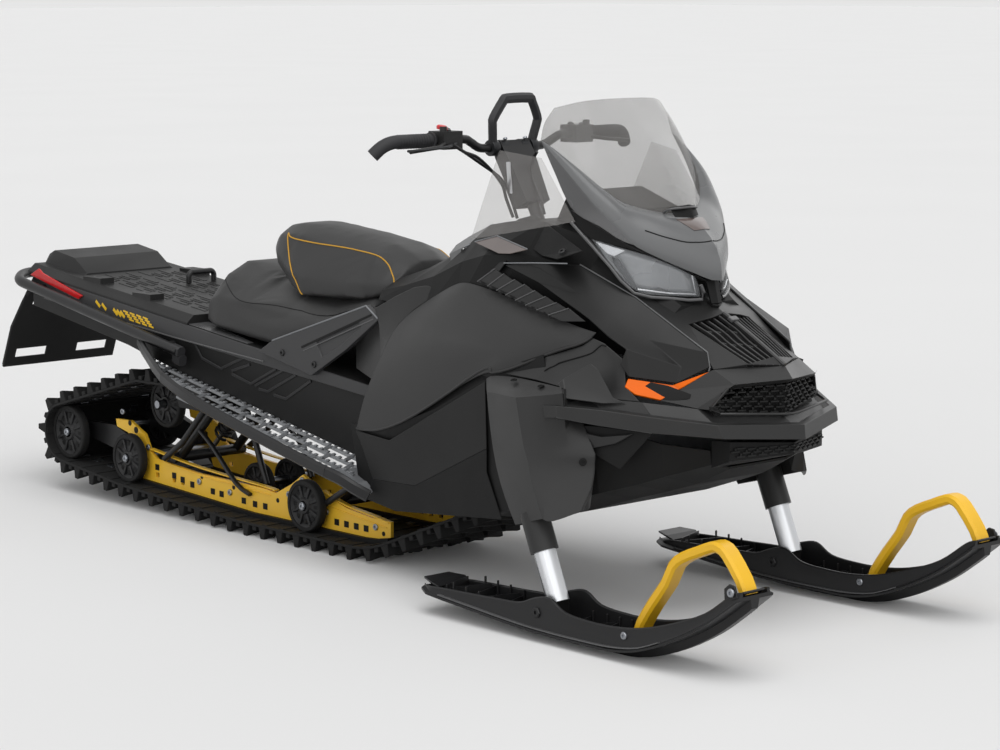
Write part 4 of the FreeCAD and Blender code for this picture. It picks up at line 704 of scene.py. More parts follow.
grille_pan()
FIN_LINES = (0.16, 0.34, 0.52, 0.70, 0.87)
bars("hood_grille_fins", [[on_hood(0.0, v, -4.0), on_hood(0.3, v - 0.02, -3.0), on_hood(0.55, v + 0.03, -3.0),
                           on_hood(1.0, v - 0.03, -4.0)] for v in FIN_LINES],
     box_profile(4.2, 8.0, 1.2), HOOD_CHARCOAL, both=True, steps=4)
FIN_TIES = [(0.16, 4), (0.2, 3), (0.26, 1), (0.44, 4), (0.5, 2), (0.5, 3), (0.56, 1), (0.56, 0), (0.8, 0), (0.2, 0)]
bars("hood_grille_ties", [[on_hood(u, FIN_LINES[k], -6.0), on_hood(u + 0.07, FIN_LINES[k - 1] if k else 0.0, -6.0)]
                          for u, k in FIN_TIES], box_profile(3.5, 5.0, 1.0), HOOD_CHARCOAL, both=True, steps=1)
bars("hood_spine", [[on_hood(0.0, 0.0, -3.0), on_hood(0.5, 0.0, -1.0), on_hood(1.0, 0.0, -3.0)]],
     box_profile(13.0, 14.0, 3.0), HOOD_CHARCOAL, steps=4)


def mesh_rows(x_side, side_reach, x_mid, lows, highs, rows, pitch):
    """Stations for the broken bars and links of a moulded mesh, on a face that sweeps back to each side."""
    spots = []
    for row in range(rows):
        share = (row + 0.5) / rows
        k = 0
        while True:
            reach = (k + (0.5 if row % 2 else 0.0)) * pitch
            if reach > side_reach:
                break
            out = reach / side_reach
            low = lows[0] + (lows[1] - lows[0]) * out
            high = highs[0] + (highs[1] - highs[0]) * max(0.0, (out - 0.78) / 0.22)
            x = x_mid + (x_side - x_mid) * out
            if high - low > 6.0:
                turn = (x_side - x_mid, -side_reach, 0)
                spots.append(((x, -reach, low + (high - low) * share), turn, (0, 0, 1), 1.0))
                if row < rows - 1:
                    spots.append(((x, -reach, low + (high - low) * (share + 0.5 / rows)), turn, (0, 0, 1),
                                  (0.22, 1, 1.5)))
            k += 1
    return spots


MESH_BAR = block(21.0, 7.0, 4.0, edge=0.8, foot=-2.0)
repeat("upper_nose_mesh", MESH_BAR, mesh_rows(1281, 178, 1342, (512, 532), (588, 540), 6, 27.0), LOWER_BLACK_AND_SHADE,
       mirror=True)
repeat("lower_nose_mesh", MESH_BAR, mesh_rows(1320, 160, 1371, (430, 424), (450, 462), 3, 27.0), LOWER_BLACK_AND_SHADE,
       mirror=True)
bars("upper_nose_frame", [[(1300, -148, 584), (1277, -183, 537), (1306, -178, 529), (1338, -150, 530),
                           (1362, -30, 520), (1364, 0, 518)]], box_profile(7.0, 6.0, 1.5), HOOD_CHARCOAL,
     steps=1, both=True)
# light grey lines along the hood's creases: painted highlights
bars("hood_crease_lines", [[(876, -201, 838), (1022, -161, 769), (1231, -143, 659),
                            (1239, -143, 626), (1244, -152, 618)]], ring_profile(1.6, 6), WING_GREY_AND_HIGHLIGHT, steps=1, both=True)
VENT_TEETH = [(627, 226, 803), (663, 230, 794), (707, 236, 784), (748, 242, 776), (789, 248, 765), (833, 255, 755),
              (877, 262, 745), (925, 270, 736)]
VENT_FEET = [(585, 240, 774), (624, 243, 766), (661, 248, 759), (697, 252, 751), (735, 256, 742), (776, 262, 734),
             (820, 268, 727), (867, 275, 720)]


def vent_scales():
    """Overlapping scales under the hood's edge: each stands a little proud of the next."""
    points, faces = {}, []
    for i, (top, foot) in enumerate(zip(VENT_TEETH, VENT_FEET)):
        after = VENT_TEETH[i + 1] if i < len(VENT_TEETH) - 1 else (975, 280, 722)
        next_foot = VENT_FEET[i + 1] if i < len(VENT_FEET) - 1 else (905, 284, 712)
        points["a%d" % i] = (top[0] - 6, top[1] + 9, top[2] + 7)
        points["b%d" % i] = (after[0] - 4, after[1] - 1, after[2] - 4)
        points["c%d" % i] = (next_foot[0] - 4, next_foot[1] - 1, next_foot[2])
        points["d%d" % i] = (foot[0] - 8, foot[1] + 12, foot[2] + 3)
        faces.append("a%d b%d c%d d%d" % (i, i, i, i))
    facets("vent_scales", points, faces, BODY_BLACK, wall=5.0, edge=1.0, spine=600.0)
    # light grey lines on the scales' raised edges: painted highlights
    bars("vent_scale_edges", [[(x, -reach - 1, z + 1) for x, reach, z in (points["a%d" % i], points["d%d" % i])]
                              for i in range(len(VENT_TEETH))], ring_profile(1.5, 6), SHROUD_GREY_AND_HIGHLIGHT, steps=1, both=True)


vent_scales()
# dark triangles at the feet of the scales: painted shade in the notches between them
facets("vent_slots", {"%s%d" % (key, i): (x + dx, reach + 9.5, z + dz) for i, (x, reach, z) in enumerate(VENT_FEET)
                      for key, dx, dz in (("a", -10, 10), ("b", 20, 0), ("c", -6, -5))},
       ["a%d b%d c%d" % (i, i, i) for i in range(len(VENT_FEET))], DEEP_BLACK_AND_SHADE, wall=1.0, edge=0.0, spine=600.0)
KNEE = {"k0": (170, 232, 676), "k1": (320, 214, 755), "k2": (193, 236, 636), "k3": (226, 262, 576),
        "rearU": (365, 214, 717), "r1": (261, 240, 652), "r2": (256, 288, 562), "top": (372, 206, 742)}
facets("knee_panels", KNEE, ["k0 k1 r1 k2", "k1 top rearU r1", "k2 r1 r2 k3"], BODY_BLACK, edge=4.0, soft=1,
       spine=500.0)

facets("seat_front_sides", {"a": (56, 198, 508), "b": (56, 198, 610), "c": (112, 192, 668), "d": (206, 202, 692),
                            "e": (262, 236, 652), "f": (258, 262, 562), "g": (236, 262, 484)},
       ["a b c g", "c d e f g"], BODY_BLACK, wall=3.0, edge=1.5, sharp=44.0, spine=500.0)

# ------------------------------------------------------------------ lamps, screen and shroud
WING_TIP = (768, 226, 1126)
UNDER_EDGE = [WING_TIP, (812, 228, 1060), (872, 222, 967), (944, 205, 932), (985, 180, 902), (1009, 158, 890)]
SIDE_CREASE = [WING_TIP, (830, 225, 1075), (891, 219, 1022), (939, 202, 970), (978, 182, 929), (1009, 158, 890)]
CLEAR_EDGE = [WING_TIP, (808, 216, 1104), (873, 192, 1055), (914, 165, 1016), (945, 135, 986), (972, 100, 971),
              (1000, 50, 958), (1012, 0, 955)]
NOSE_EDGE = [(1009, 158, 890), (1060, 112, 856), (1100, 60, 828), (1129, 22, 808), (1142, 0, 806)]
CENTRE_LINE = [(1142, 0, 806), (1138, 0, 850), (1112, 0, 897), (1066, 0, 935), (1012, 0, 955)]
stretched("shroud_flanks", [(UNDER_EDGE, SIDE_CREASE, [WING_TIP, WING_TIP], [UNDER_EDGE[-1], UNDER_EDGE[-1]])],
          SHROUD_GREY_AND_HIGHLIGHT, hides=("screen_wings",), spine=(900.0, 1000.0), edge=0.6)
stretched("screen_shroud", [(SIDE_CREASE + NOSE_EDGE[1:], CLEAR_EDGE, [WING_TIP, WING_TIP], CENTRE_LINE)],
          WING_GREY_AND_HIGHLIGHT, hides=("windshield_shroud",), spine=(850.0, 850.0), across=24, up=12, edge=0.6)
TOP_EDGE = [(770, 184, 1200), (803, 130, 1214), (820, 70, 1219), (825, 0, 1220)]
stretched("clear_screen", [(CLEAR_EDGE, TOP_EDGE, [WING_TIP, (766, 212, 1165), (770, 184, 1200)],
                            [(1012, 0, 955), (990, 0, 1000), (955, 0, 1062), (905, 0, 1133), (864, 0, 1178),
                             (825, 0, 1220)])],
          SCREEN_CLEAR, hides=("windshield",), spine=(750.0, 1000.0), across=20, up=14, edge=0.6)
bars("scoop_lip", [[(1000, -48, 958), (1016, -46, 967), (1032, -24, 970), (1036, 0, 971), (1032, 24, 970),
                    (1016, 46, 967),
                    (1000, 48, 962)]], box_profile(7.0, 5.0, 1.5), SHROUD_GREY_AND_HIGHLIGHT, steps=4)
# dark sheet in the scoop's opening: painted shade
facets("scoop_mouth", {"a": (1014, 44, 971), "b": (1035, 0, 977), "c": (1029, 40, 950), "d": (1050, 0, 948)},
       ["a b d c"], DEEP_BLACK_AND_SHADE, wall=1.5, edge=0.0, spine=800.0)
# dark band between the shroud's edge and the lamps: painted shadow in the gap
facets("lamp_brows", {"a": (868, 222, 966), "b": (985, 176, 898), "c": (1060, 108, 852), "d": (1120, 26, 806),
                      "e": (876, 219, 922), "f": (925, 200, 898), "g": (1018, 151, 876), "h": (1063, 101, 850),
                      "i": (1096, 50, 823), "j": (1104, 30, 806)},
       ["a f e", "a b g f", "b c h g", "c d j i h"], DEEP_BLACK_AND_SHADE, wall=3.0, edge=1.0, spine=750.0)
LENS_TOP = [(920, 200, 899), (992, 170, 880), (1063, 102, 852), (1098, 50, 825)]
LENS_LOW = [(962, 184, 842), (1017, 158, 784), (1068, 96, 772), (1106, 34, 768)]
LENS_ENDS = ([(962, 184, 842), (940, 193, 870), (920, 200, 899)], [(1106, 34, 768), (1105, 40, 796), (1098, 50, 825)])
stretched("lamp_lenses", [(LENS_LOW, LENS_TOP) + LENS_ENDS], LENS_CLEAR, wall=2.0, across=10, up=5,
          spine=(800.0, 800.0))


def set_back(line, depth):
    """A line of points moved into the lamp."""
    return [(x - depth * 0.8, reach - depth * 0.5, z) for x, reach, z in line]


stretched("lamp_bowls", [tuple(set_back(line, 22.0) for line in (LENS_LOW, LENS_TOP) + LENS_ENDS)], LAMP_SILVER,
          wall=2.0, across=8, up=5, hides=("headlamps",), spine=(800.0, 800.0))
facets("lamp_reflectors", {"a": (922, 197, 895), "b": (990, 167, 876), "c": (966, 178, 862), "d": (950, 186, 868)},
       ["a b c d"], LEG_METAL_AND_REFLECTION, wall=2.0, edge=0.6, spine=700.0)
facets("lamp_dividers", {"a": (962, 184, 862), "b": (978, 176, 856), "c": (1022, 150, 784), "d": (1010, 160, 786),
                         "e": (968, 180, 842)}, ["a b c d e"], DEEP_BLACK_AND_SHADE, wall=4.0, edge=0.8, spine=700.0)
bars("lamp_frames", [[(868, -222, 938), (922, -200, 880), (962, -186, 838), (1014, -160, 779), (1068, -98, 766),
                      (1110, -32, 762), (1109, -36, 796)]], box_profile(12.0, 7.0, 2.0), SHROUD_GREY_AND_HIGHLIGHT, steps=2,
     both=True)
bars("lamp_trims", [[(1019, -154, 787), (1066, -94, 777), (1099, -42, 774), (1094, -50, 818)]],
     box_profile(3.5, 4.0, 1.0), LEG_METAL_AND_REFLECTION, steps=1, both=True)
facets("beak_post", {"a": (1112, 20, 806), "b": (1118, 0, 808), "c": (1128, 18, 752), "d": (1132, 0, 752)},
       ["a b d c"], DEEP_BLACK_AND_SHADE, wall=8.0, edge=1.5, spine=600.0)
repeat("hood_latch", disc(17.0, 8.0, sides=6, edge=2.5), [((1117, 0, 748), (0.88, 0, -0.46), (0.46, 0, 0.88), 1.0)],
       DEEP_BLACK_AND_SHADE)
repeat("hood_latch_key", block(16.0, 26.0, 9.0, edge=1.5), [((1178, 0, 715), (0.88, 0, -0.46), (0.46, 0, 0.88), 1.0)],
       SHROUD_GREY_AND_HIGHLIGHT)


# ------------------------------------------------------------------ seat
# how near a seam the cover is held, how far it may swell, and the size of its cells
SEAM_HOLD_MM, SWELL_MM, VOXEL_MM = 8.0, 22.0, 6.0
# the foam's share of the finished form before the cover is blown up
FILLING_SHARE = (0.99, 0.975, 0.975)
SEAT_CLOTH = {"use_pressure": True, "uniform_pressure_force": 4.0, "vertex_group_mass": "held", "mass": 0.4,
              "tension_stiffness": 60.0, "compression_stiffness": 60.0, "bending_stiffness": 4.0}
CLOTH_STEPS = 20


def off_line(spot, run):
    """Distance from a spot to the nearest stretch of a run."""
    return min((spot - foot).length for a, b in zip(run, run[1:])
               for foot in [a + (b - a) * min(max((spot - a).dot(b - a) / (b - a).length_squared, 0.0), 1.0)])


def stuffed(name, rings, finish, node, seams):
    """An upholstered form: a closed loft of rings in mm, blown up as cloth inside its cover, then smoothed.

    The cover is held along its seams, given for the right side, so it swells between them.
    """
    vertices = [Vector(spot) * MM for ring in rings for spot in ring]
    mesh = new_mesh(name, vertices, loft(len(rings), len(rings[0])))
    with edited(mesh) as work:
        bmesh.ops.recalc_face_normals(work, faces=work.faces)
        centre = sum((v.co for v in work.verts), Vector()) / len(work.verts)
        bmesh.ops.scale(work, vec=FILLING_SHARE, verts=work.verts, space=Matrix.Translation(-centre))
    pad = show(name, mesh, finish, "chassis", (node,))
    modify(pad, "REMESH", mode="VOXEL", voxel_size=VOXEL_MM * MM)
    bake_modifiers(pad)
    # the cover is held all round its foot and along its seams, so only the crown and the sides swell
    lines = [[Vector(spot) * MM for spot in run] for run in seams]
    held = pad.vertex_groups.new(name="held")
    held.add([v.index for v in pad.data.vertices
              if v.normal.z < -0.35 or min(off_line(Vector((v.co.x, -abs(v.co.y), v.co.z)), run) for run in lines)
              < SEAM_HOLD_MM * MM], 1.0, "REPLACE")
    before = [vertex.co.copy() for vertex in pad.data.vertices]
    cloth = pad.modifiers.new("cloth", "CLOTH")
    for key, value in SEAT_CLOTH.items():
        setattr(cloth.settings, key, value)
    cloth.settings.effector_weights.gravity = 0.0
    for step in range(1, CLOTH_STEPS + 1):
        scene.frame_set(step)
    bake_modifiers(pad)
    scene.frame_set(1)
    for vertex, start in zip(pad.data.vertices, before):
        moved = vertex.co - start
        if moved.length > SWELL_MM * MM:
            vertex.co = start + moved.normalized() * SWELL_MM * MM
    foot = min(spot[2] for ring in rings for spot in ring) * MM
    for vertex in pad.data.vertices:
        vertex.co.z = max(vertex.co.z, foot)
    pad.data.shade_smooth()
    modify(pad, "SMOOTH", factor=0.5, iterations=4)
    modify(pad, "SUBSURF", levels=1, render_levels=1)
    return pad


def bake_modifiers(thing):
    """Turns a piece's modifiers into plain mesh."""
    graph = bpy.context.evaluated_depsgraph_get()
    mesh = bpy.data.meshes.new_from_object(thing.evaluated_get(graph))
    finish = thing.data.materials[0]
    thing.modifiers.clear()
    thing.data = mesh
    mesh.materials.clear()
    mesh.materials.append(finish)


def hull_rings(stations):
    """Rings of a seat form: each station is x and the right half's (reach, z) from foot to crown."""
    return [[(x, -reach, z) for reach, z in half] + [(x, reach, z) for reach, z in reversed(half)]
            for x, half in stations]


BENCH = hull_rings([
    (-624, [(120, 570), (152, 580), (152, 612), (118, 632), (40, 636)]),
    (-596, [(154, 562), (186, 574), (182, 622), (140, 668), (60, 690)]),
    (-566, [(174, 558), (200, 570), (190, 640), (136, 704), (66, 736)]),
    (-540, [(184, 554), (206, 566), (194, 646), (140, 702), (60, 734)]),
    (-440, [(192, 546), (208, 560), (196, 640), (150, 676), (80, 694)]),
    (-240, [(194, 526), (208, 540), (202, 620), (160, 650), (80, 662)]),
    (-80, [(190, 548), (204, 586), (196, 638), (160, 655), (80, 662)]),
    (60, [(180, 600), (194, 650), (190, 665), (160, 668), (80, 670)]),
    (116, [(176, 640), (188, 672), (186, 676), (160, 678), (80, 680)]),
])
CUSHION = hull_rings([
    (-440, [(44, 770), (60, 764), (66, 782), (58, 796), (34, 800)]),
    (-420, [(60, 752), (78, 748), (84, 778), (70, 812), (36, 826)]),
    (-396, [(72, 736), (94, 734), (100, 772), (84, 818), (42, 844)]),
    (-340, [(88, 706), (114, 708), (124, 748), (98, 824), (50, 853)]),
    (-290, [(98, 682), (134, 686), (144, 730), (104, 824), (50, 854)]),
    (-232, [(110, 662), (150, 668), (154, 718), (108, 818), (50, 850)]),
    (-100, [(112, 664), (158, 676), (158, 722), (112, 808), (50, 838)]),
    (40, [(114, 670), (162, 682), (162, 722), (114, 794), (46, 820)]),
    (96, [(108, 684), (152, 694), (150, 722), (100, 776), (40, 800)]),
    (130, [(98, 708), (130, 716), (130, 732), (80, 762), (34, 780)]),
])
# seam lines on the right side; the cover's piping and stitching run along them
CUSHION_SEAMS = [
    [(-352, -90, 826), (-320, -96, 812), (-218, -110, 808), (-36, -112, 804), (60, -116, 796), (104, -120, 762),
     (130, -132, 730)],
    [(-352, -90, 826), (-320, -122, 778), (-275, -137, 730), (-226, -150, 668)],
]
BENCH_SEAMS = [
    [(-560, -150, 690), (-439, -190, 643), (-266, -190, 658), (-60, -190, 655), (90, -186, 676)],
    [(-566, -200, 590), (-400, -208, 575), (-234, -208, 560), (-80, -202, 605)],
]
stuffed("seat_bench_cover", BENCH, SEAT_VINYL, "seat_base", BENCH_SEAMS)
stuffed("seat_cushion_cover", CUSHION, SEAT_VINYL, "seat_cushion", CUSHION_SEAMS)


# ------------------------------------------------------------------ seams, piping and rims laid on the skins
def laid_on(node, run, lift, steps=6):
    """A run of places in mm moved onto the nearest skin of a finished piece, and lifted off it."""
    graph = bpy.context.evaluated_depsgraph_get()
    skin = bpy.data.objects[node].evaluated_get(graph)
    places = []
    for spot in curve_points([Vector(place) * MM for place in run], steps):
        _, foot, normal, _ = skin.closest_point_on_mesh(spot)
        places.append(tuple((foot + normal * lift * MM) / MM))
    return places


def laid_line(name, node, runs, radius, finish, lift=0.0):
    """Thin round lines that follow a finished piece's own skin, on both sides of the machine."""
    both_sides = [run for line in runs for run in mirrored([line])]
    return bars(name, [laid_on(node, run, lift) for run in both_sides], ring_profile(radius, 8), finish, steps=1)


laid_line("side_panel_rims", "side_panels_skin", [[(SIDE[k][0], -SIDE[k][1], SIDE[k][2])
                                                   for k in "r4 e0 e1 e2 e3 e4 e5 e6".split()]], 3.4, BODY_BLACK)
laid_line("shroud_seams", "screen_shroud", [[(1027, -138, 926), (1047, -119, 917), (1064, -99, 909), (1089, -62, 898),
                                             (1106, -24, 897), (1111, -2, 897)]], 1.4, DEEP_BLACK_AND_SHADE, lift=0.5)
laid_line("fender_seams", "fender_skins", [[(890, -352, 581), (936, -350, 620), (1031, -335, 657), (1060, -330, 689)]],
          1.6, DEEP_BLACK_AND_SHADE, lift=0.4)
SCOOP_ROWS = [laid_on("screen_shroud", [(x - abs(way) * 5, way * wide, z) for way in (-1, -0.5, 0, 0.5, 1)], 1.6,
                      steps=1)
              for x, wide, z in ((1046, 46, 952), (1068, 38, 940), (1088, 28, 926))]
facets("scoop_pane", {"p%d%d" % (row, k): (x, -y, z) for row, spots in enumerate(SCOOP_ROWS)
                      for k, (x, y, z) in enumerate(spots)},
       ["p%d%d p%d%d p%d%d p%d%d" % (row, k, row, k + 1, row + 1, k + 1, row + 1, k)
        for row in (0, 1) for k in range(4)],
       WINDOW_SMOKE, wall=1.2, edge=0.0, spine=800.0, both=False, sharp=60.0)
laid_line("seat_piping", "seat_cushion_cover", CUSHION_SEAMS, 1.8, SEAM_GOLD, lift=0.6)
laid_line("seat_seams", "seat_bench_cover", BENCH_SEAMS[:1], 1.2, DEEP_BLACK_AND_SHADE, lift=0.2)


# ------------------------------------------------------------------ console
CONSOLE_COWL = {"b0": (367, 152, 813), "b1": (363, 152, 822), "b2": (367, 132, 844), "b3": (383, 102, 865),
        "b4": (428, 62, 898), "b5": (498, 112, 884), "b6": (414, 154, 842), "b7": (421, 164, 803),
        "b8": (371, 154, 788), "d1": (458, 154, 842)}
facets("console_cowl", CONSOLE_COWL, ["b1 b6 b7 b8 b0", "b1 b2 b6", "b2 b3 b6", "b3 b4 b5 b6", "b5 d1 b6"], WING_GREY_AND_HIGHLIGHT,
       wall=3.0, edge=1.5, sharp=30.0, spine=760.0)
facets("console_flanks", {"d0": (421, 165, 840), "d1": (458, 156, 842), "p4": (629, 200, 838), "d2": (645, 229, 824),
                          "d3": (628, 229, 806), "d4": (483, 195, 792), "b7": (421, 166, 803)},
       ["d0 d1 p4 d2 d3 d4 b7"], RACK_BLACK, wall=3.0, edge=1.5, spine=700.0)
facets("console_tops", {"p0": (495, 160, 853), "p1": (557, 150, 869), "t0": (589, 152, 886), "t1": (585, 122, 923),
                        "t2": (638, 122, 936), "t3": (921, 238, 876), "t4": (851, 252, 853), "t5": (760, 214, 852),
                        "b5": (498, 113, 886)},
       ["b5 p1 t0 t1", "t0 t5 t3 t2 t1", "t5 t4 t3", "b5 p0 p1"], DEEP_BLACK_AND_SHADE, wall=3.0, edge=1.5, spine=760.0)
facets("console_windows", {"p0": (500, 190, 864), "p1": (565, 176, 882), "p2": (735, 238, 866), "p3": (676, 240, 852),
                           "p4": (629, 232, 849)}, ["p0 p1 p2 p3 p4"], WINDOW_SMOKE, wall=2.0, edge=0.8, spine=760.0)
bars("console_window_rims", [[(500, -190, 865), (565, -176, 883), (735, -238, 867)],
                             [(421, -154, 844), (458, -130, 864), (487, -112, 884)],
                             [(645, -229, 826), (760, -244, 836), (890, -257, 845)]], ring_profile(1.6, 6), BOARD_METAL,
     steps=1, both=True)
repeat("console_bolts", disc(9.0, 4.0, sides=14, edge=1.5, dimple=4.0),
       [((850, -234, 868), (1, 0, 0), (0, -0.6, 0.8), 1)],
       TUBE_BLACK, mirror=True)
CABLES = [[(470, -235, 1103), (478, -205, 1084), (489, -170, 1069), (478, -110, 1031), (482, -80, 995), (478, -64, 962),
           (490, -52, 916)],
          [(500, 20, 1076), (487, 20, 1055), (493, 10, 1019), (531, 0, 967), (552, -4, 925)],
          [(452, -215, 1100), (462, -150, 1060), (462, -66, 1010), (470, -40, 960), (486, -34, 912)]]
bars("control_cables", CABLES, ring_profile(4.0, 10), TUBE_BLACK, "steering", steps=6)


# ------------------------------------------------------------------ track and wheels
LUG_PITCH_MM = 72.6
# what the belt runs round, in order: x, z and radius of its inner face
GUIDES = [(500.0, 300.0, 95.0), (20.0, 439.0, 400.0), (-450.0, 339.0, 300.0), (-993.0, 138.0, 71.0),
          (-1286.0, 180.0, 80.0), (-900.0, 300.0, 71.0)]


def outer_tangent(first, second):
    """Where the outer tangent leaves the first guide and meets the second."""
    (x0, z0, r0), (x1, z1, r1) = first, second
    normal = (math.atan2(z1 - z0, x1 - x0) + math.pi / 2
              + math.asin((r1 - r0) / math.hypot(x1 - x0, z1 - z0)))
    side = (math.cos(normal), math.sin(normal))
    return (x0 + side[0] * r0, z0 + side[1] * r0), (x1 + side[0] * r1, z1 + side[1] * r1)


def belt_line(outside):
    """The belt's closed line at a distance outside its guides, as straight and round pieces with their lengths."""
    rings = [(x, z, radius + outside) for x, z, radius in GUIDES]
    lines = [outer_tangent(ring, after) for ring, after in zip(rings, rings[1:] + rings[:1])]
    pieces = []
    for (leave, meet), (onward, _), (x, z, radius) in zip(lines, lines[1:] + lines[:1], rings[1:] + rings[:1]):
        pieces.append(("line", (leave, meet), math.dist(leave, meet)))
        start = math.atan2(meet[1] - z, meet[0] - x)
        sweep_angle = (start - math.atan2(onward[1] - z, onward[0] - x)) % (2 * math.pi)
        pieces.append(("arc", (x, z, radius, start), radius * sweep_angle))
    return pieces


def even_spots(pieces, count, phase=0.5):
    """Places on the belt's line at equal spacing: x, z, and the direction out of the loop."""
    total = sum(length for _, _, length in pieces)
    spots = []
    for i in range(count):
        left = total * (i + phase) / count
        for kind, data, length in pieces:
            if left <= length:
                break
            left -= length
        if kind == "line":
            (x0, z0), (x1, z1) = data
            spots.append((x0 + (x1 - x0) * left / length, z0 + (z1 - z0) * left / length,
                          ((z0 - z1) / length, (x1 - x0) / length)))
        else:
            x, z, radius, start = data
            out = (math.cos(start - left / radius), math.sin(start - left / radius))
            spots.append((x + out[0] * radius, z + out[1] * radius, out))
    return spots


LUG_COUNT = round(sum(length for _, _, length in belt_line(7.0)) / LUG_PITCH_MM)
bars("track_belt", [[(x, 0.0, z) for x, z, _ in even_spots(belt_line(3.5), 220)]], box_profile(7.0, 405.0, 1.0),
     TRACK_RUBBER, hides=("track",), steps=1, closed=True, upright=(0, 1, 0))


def paddle(width, foot, crest, height, notch):
    """A lug: a tapered rubber paddle with a cupped middle."""
    a, b, w = foot / 2, crest / 2, width / 2
    corners = [(x, y, z) for y in (-w, -w * 0.35, w * 0.35, w)
               for x, z in ((-a, -0.5), (-b, height - (notch if abs(y) < w else 0.0)),
                            (b, height - (notch if abs(y) < w else 0.0)), (a, -0.5))]
    return template(corners, loft(4, 4), 1.2)


def on_belt(offsets, outside=0.0, phase=0.5, inward=False):
    """Stations on the belt at each lug's pitch, for each offset across it."""
    line = belt_line(outside)
    flip = -1 if inward else 1
    return [((x, y, z), (-out[1], 0, out[0]), (flip * out[0], 0, flip * out[1]), 1.0)
            for x, z, out in even_spots(line, LUG_COUNT, phase) for y in offsets]


repeat("track_side_lugs", paddle(118.0, 30.0, 15.0, 32.0, 5.0), on_belt((-143.0, 143.0), 7.0), TRACK_RUBBER)
repeat("track_middle_lugs", paddle(112.0, 28.0, 14.0, 30.0, 6.0), on_belt((0.0,), 7.0), TRACK_RUBBER)
repeat("track_edge_nubs", block(16.0, 30.0, 12.0, edge=1.5), on_belt((-186.0, -72.0, 72.0, 186.0), 6.8, phase=0.0),
       TRACK_RUBBER)
repeat("track_inner_ribs", block(20.0, 396.0, 2.6, edge=0.6), on_belt((0.0,), 0.2, inward=True), TRACK_RUBBER)
repeat("track_clips", block(24.0, 26.0, 3.6, edge=0.8), on_belt((-110.0, 110.0), 0.2, phase=0.0, inward=True), STEEL)


def turned(profile, sides=40):
    """A ring turned round its own Z axis from a closed profile of (radius, height)."""
    corners = [(r * math.cos(2 * math.pi * k / sides), r * math.sin(2 * math.pi * k / sides), z)
               for k in range(sides) for r, z in profile]
    return template(corners, loft(sides, len(profile), closed=True))


# wheels on the ground run and in the loop: x, reach, height, radius
WHEELS = [(-191.0, 165.0, 110.0, 70.6), (-993.0, 165.0, 138.0, 70.6), (-900.0, 95.0, 300.0, 70.6),
          (-535.0, 55.0, 112.0, 57.6), (-1286.0, 165.0, 180.0, 79.6)]
WHEEL_SIDES = [sideways((x, side * reach, z), side, radius) for x, reach, z, radius in WHEELS for side in (-1, 1)]
TYRE = turned([(0.83, -13), (0.95, -13), (0.985, -11), (1.0, -8), (1.0, 8), (0.985, 11), (0.95, 13), (0.83, 13)])
DISH = turned([(0.2, -12), (0.26, -12), (0.34, -6), (0.7, -3), (0.84, -10), (0.84, 10), (0.7, 3), (0.34, 7),
               (0.28, 13.5), (0.2, 13.5)])
for shape in (TYRE, DISH):
    for vertex in shape.vertices:
        vertex.co = Vector((vertex.co.x * 1000, vertex.co.y * 1000, vertex.co.z))


def wheel_set(name, shape, finish, hides=()):
    """One of each wheel's rings, at every wheel: the ring's radius is 1 and takes the wheel's own."""
    return repeat(name, shape, [(place, ahead, high, (radius * MM, radius * MM, 1)) for place, ahead, high, radius
                                in WHEEL_SIDES], finish, hides=hides, sharp=35.0)


wheel_set("wheel_tyres", TYRE, TRACK_RUBBER, ("idler_wheels", "rear_wheels"))
wheel_set("wheel_dishes", DISH, WHEEL_BLACK)


def round_wheels(count, share, lift, turn=0.5):
    """Stations round each wheel's face, at a share of its radius."""
    spots = []
    for (x, y, z), _, high, radius in WHEEL_SIDES:
        for face in (1, -1):
            for k in range(count):
                angle = 2 * math.pi * (k + turn) / count
                out = (math.cos(angle), 0, math.sin(angle))
                place = (x + out[0] * radius * share, y + high[1] * face * lift, z + out[2] * radius * share)
                spots.append((place, out, (0, high[1] * face, 0), (radius / 70.0, radius / 70.0, 1)))
    return spots


repeat("wheel_spokes", block(34.0, 7.0, 7.5, edge=1.2), round_wheels(8, 0.55, 2.5), WHEEL_BLACK)
# dark patches between the spokes: painted shade of the wheels' openings
repeat("wheel_slots", block(15.0, 9.0, 1.2, edge=0.4), round_wheels(8, 0.6, 4.0, turn=0.0), DEEP_BLACK_AND_SHADE)
repeat("axle_bolts", disc(10.5, 8.0, sides=6, edge=1.5, dimple=4.0),
       [sideways((x, side * (reach + 13.0), z), side) for x, reach, z, _ in WHEELS if reach > 100.0
        for side in (-1, 1)], STEEL)


# ------------------------------------------------------------------ rails and suspension
rounded_copy("slide_rails", RAIL_GOLD, edge=1.4, sharp=30.0)
RAIL_FACE = 137.2
RAIL_BOLTS = [(-1062, 262), (-940, 172), (-700, 104), (-560, 92), (-300, 122), (-242, 168), (-140, 96), (60, 84)]
repeat("rail_bolts", disc(9.0, 5.0, sides=12, edge=1.2, dimple=4.0),
       [sideways((x, -RAIL_FACE, z)) for x, z in RAIL_BOLTS], STEEL, mirror=True)
RAIL_WINDOWS = (-900, -820, -780, -735, -640, -600, -500, -450, -405, -100, -60, -20, 20)


def rail_window_height(x):
    """Height of the middle of the rail's slots, over the belt's rise to the rear."""
    return 74.0 + max(0.0, -450.0 - x) * 0.052 + max(0.0, -720.0 - x) * 0.12


# dark patches on the rails' faces: painted shade of their slots
repeat("rail_windows", block(19.0, 17.0, 1.0, edge=0.3),
       [sideways((x, -RAIL_FACE, rail_window_height(x))) for x in RAIL_WINDOWS], DEEP_BLACK_AND_SHADE, mirror=True)
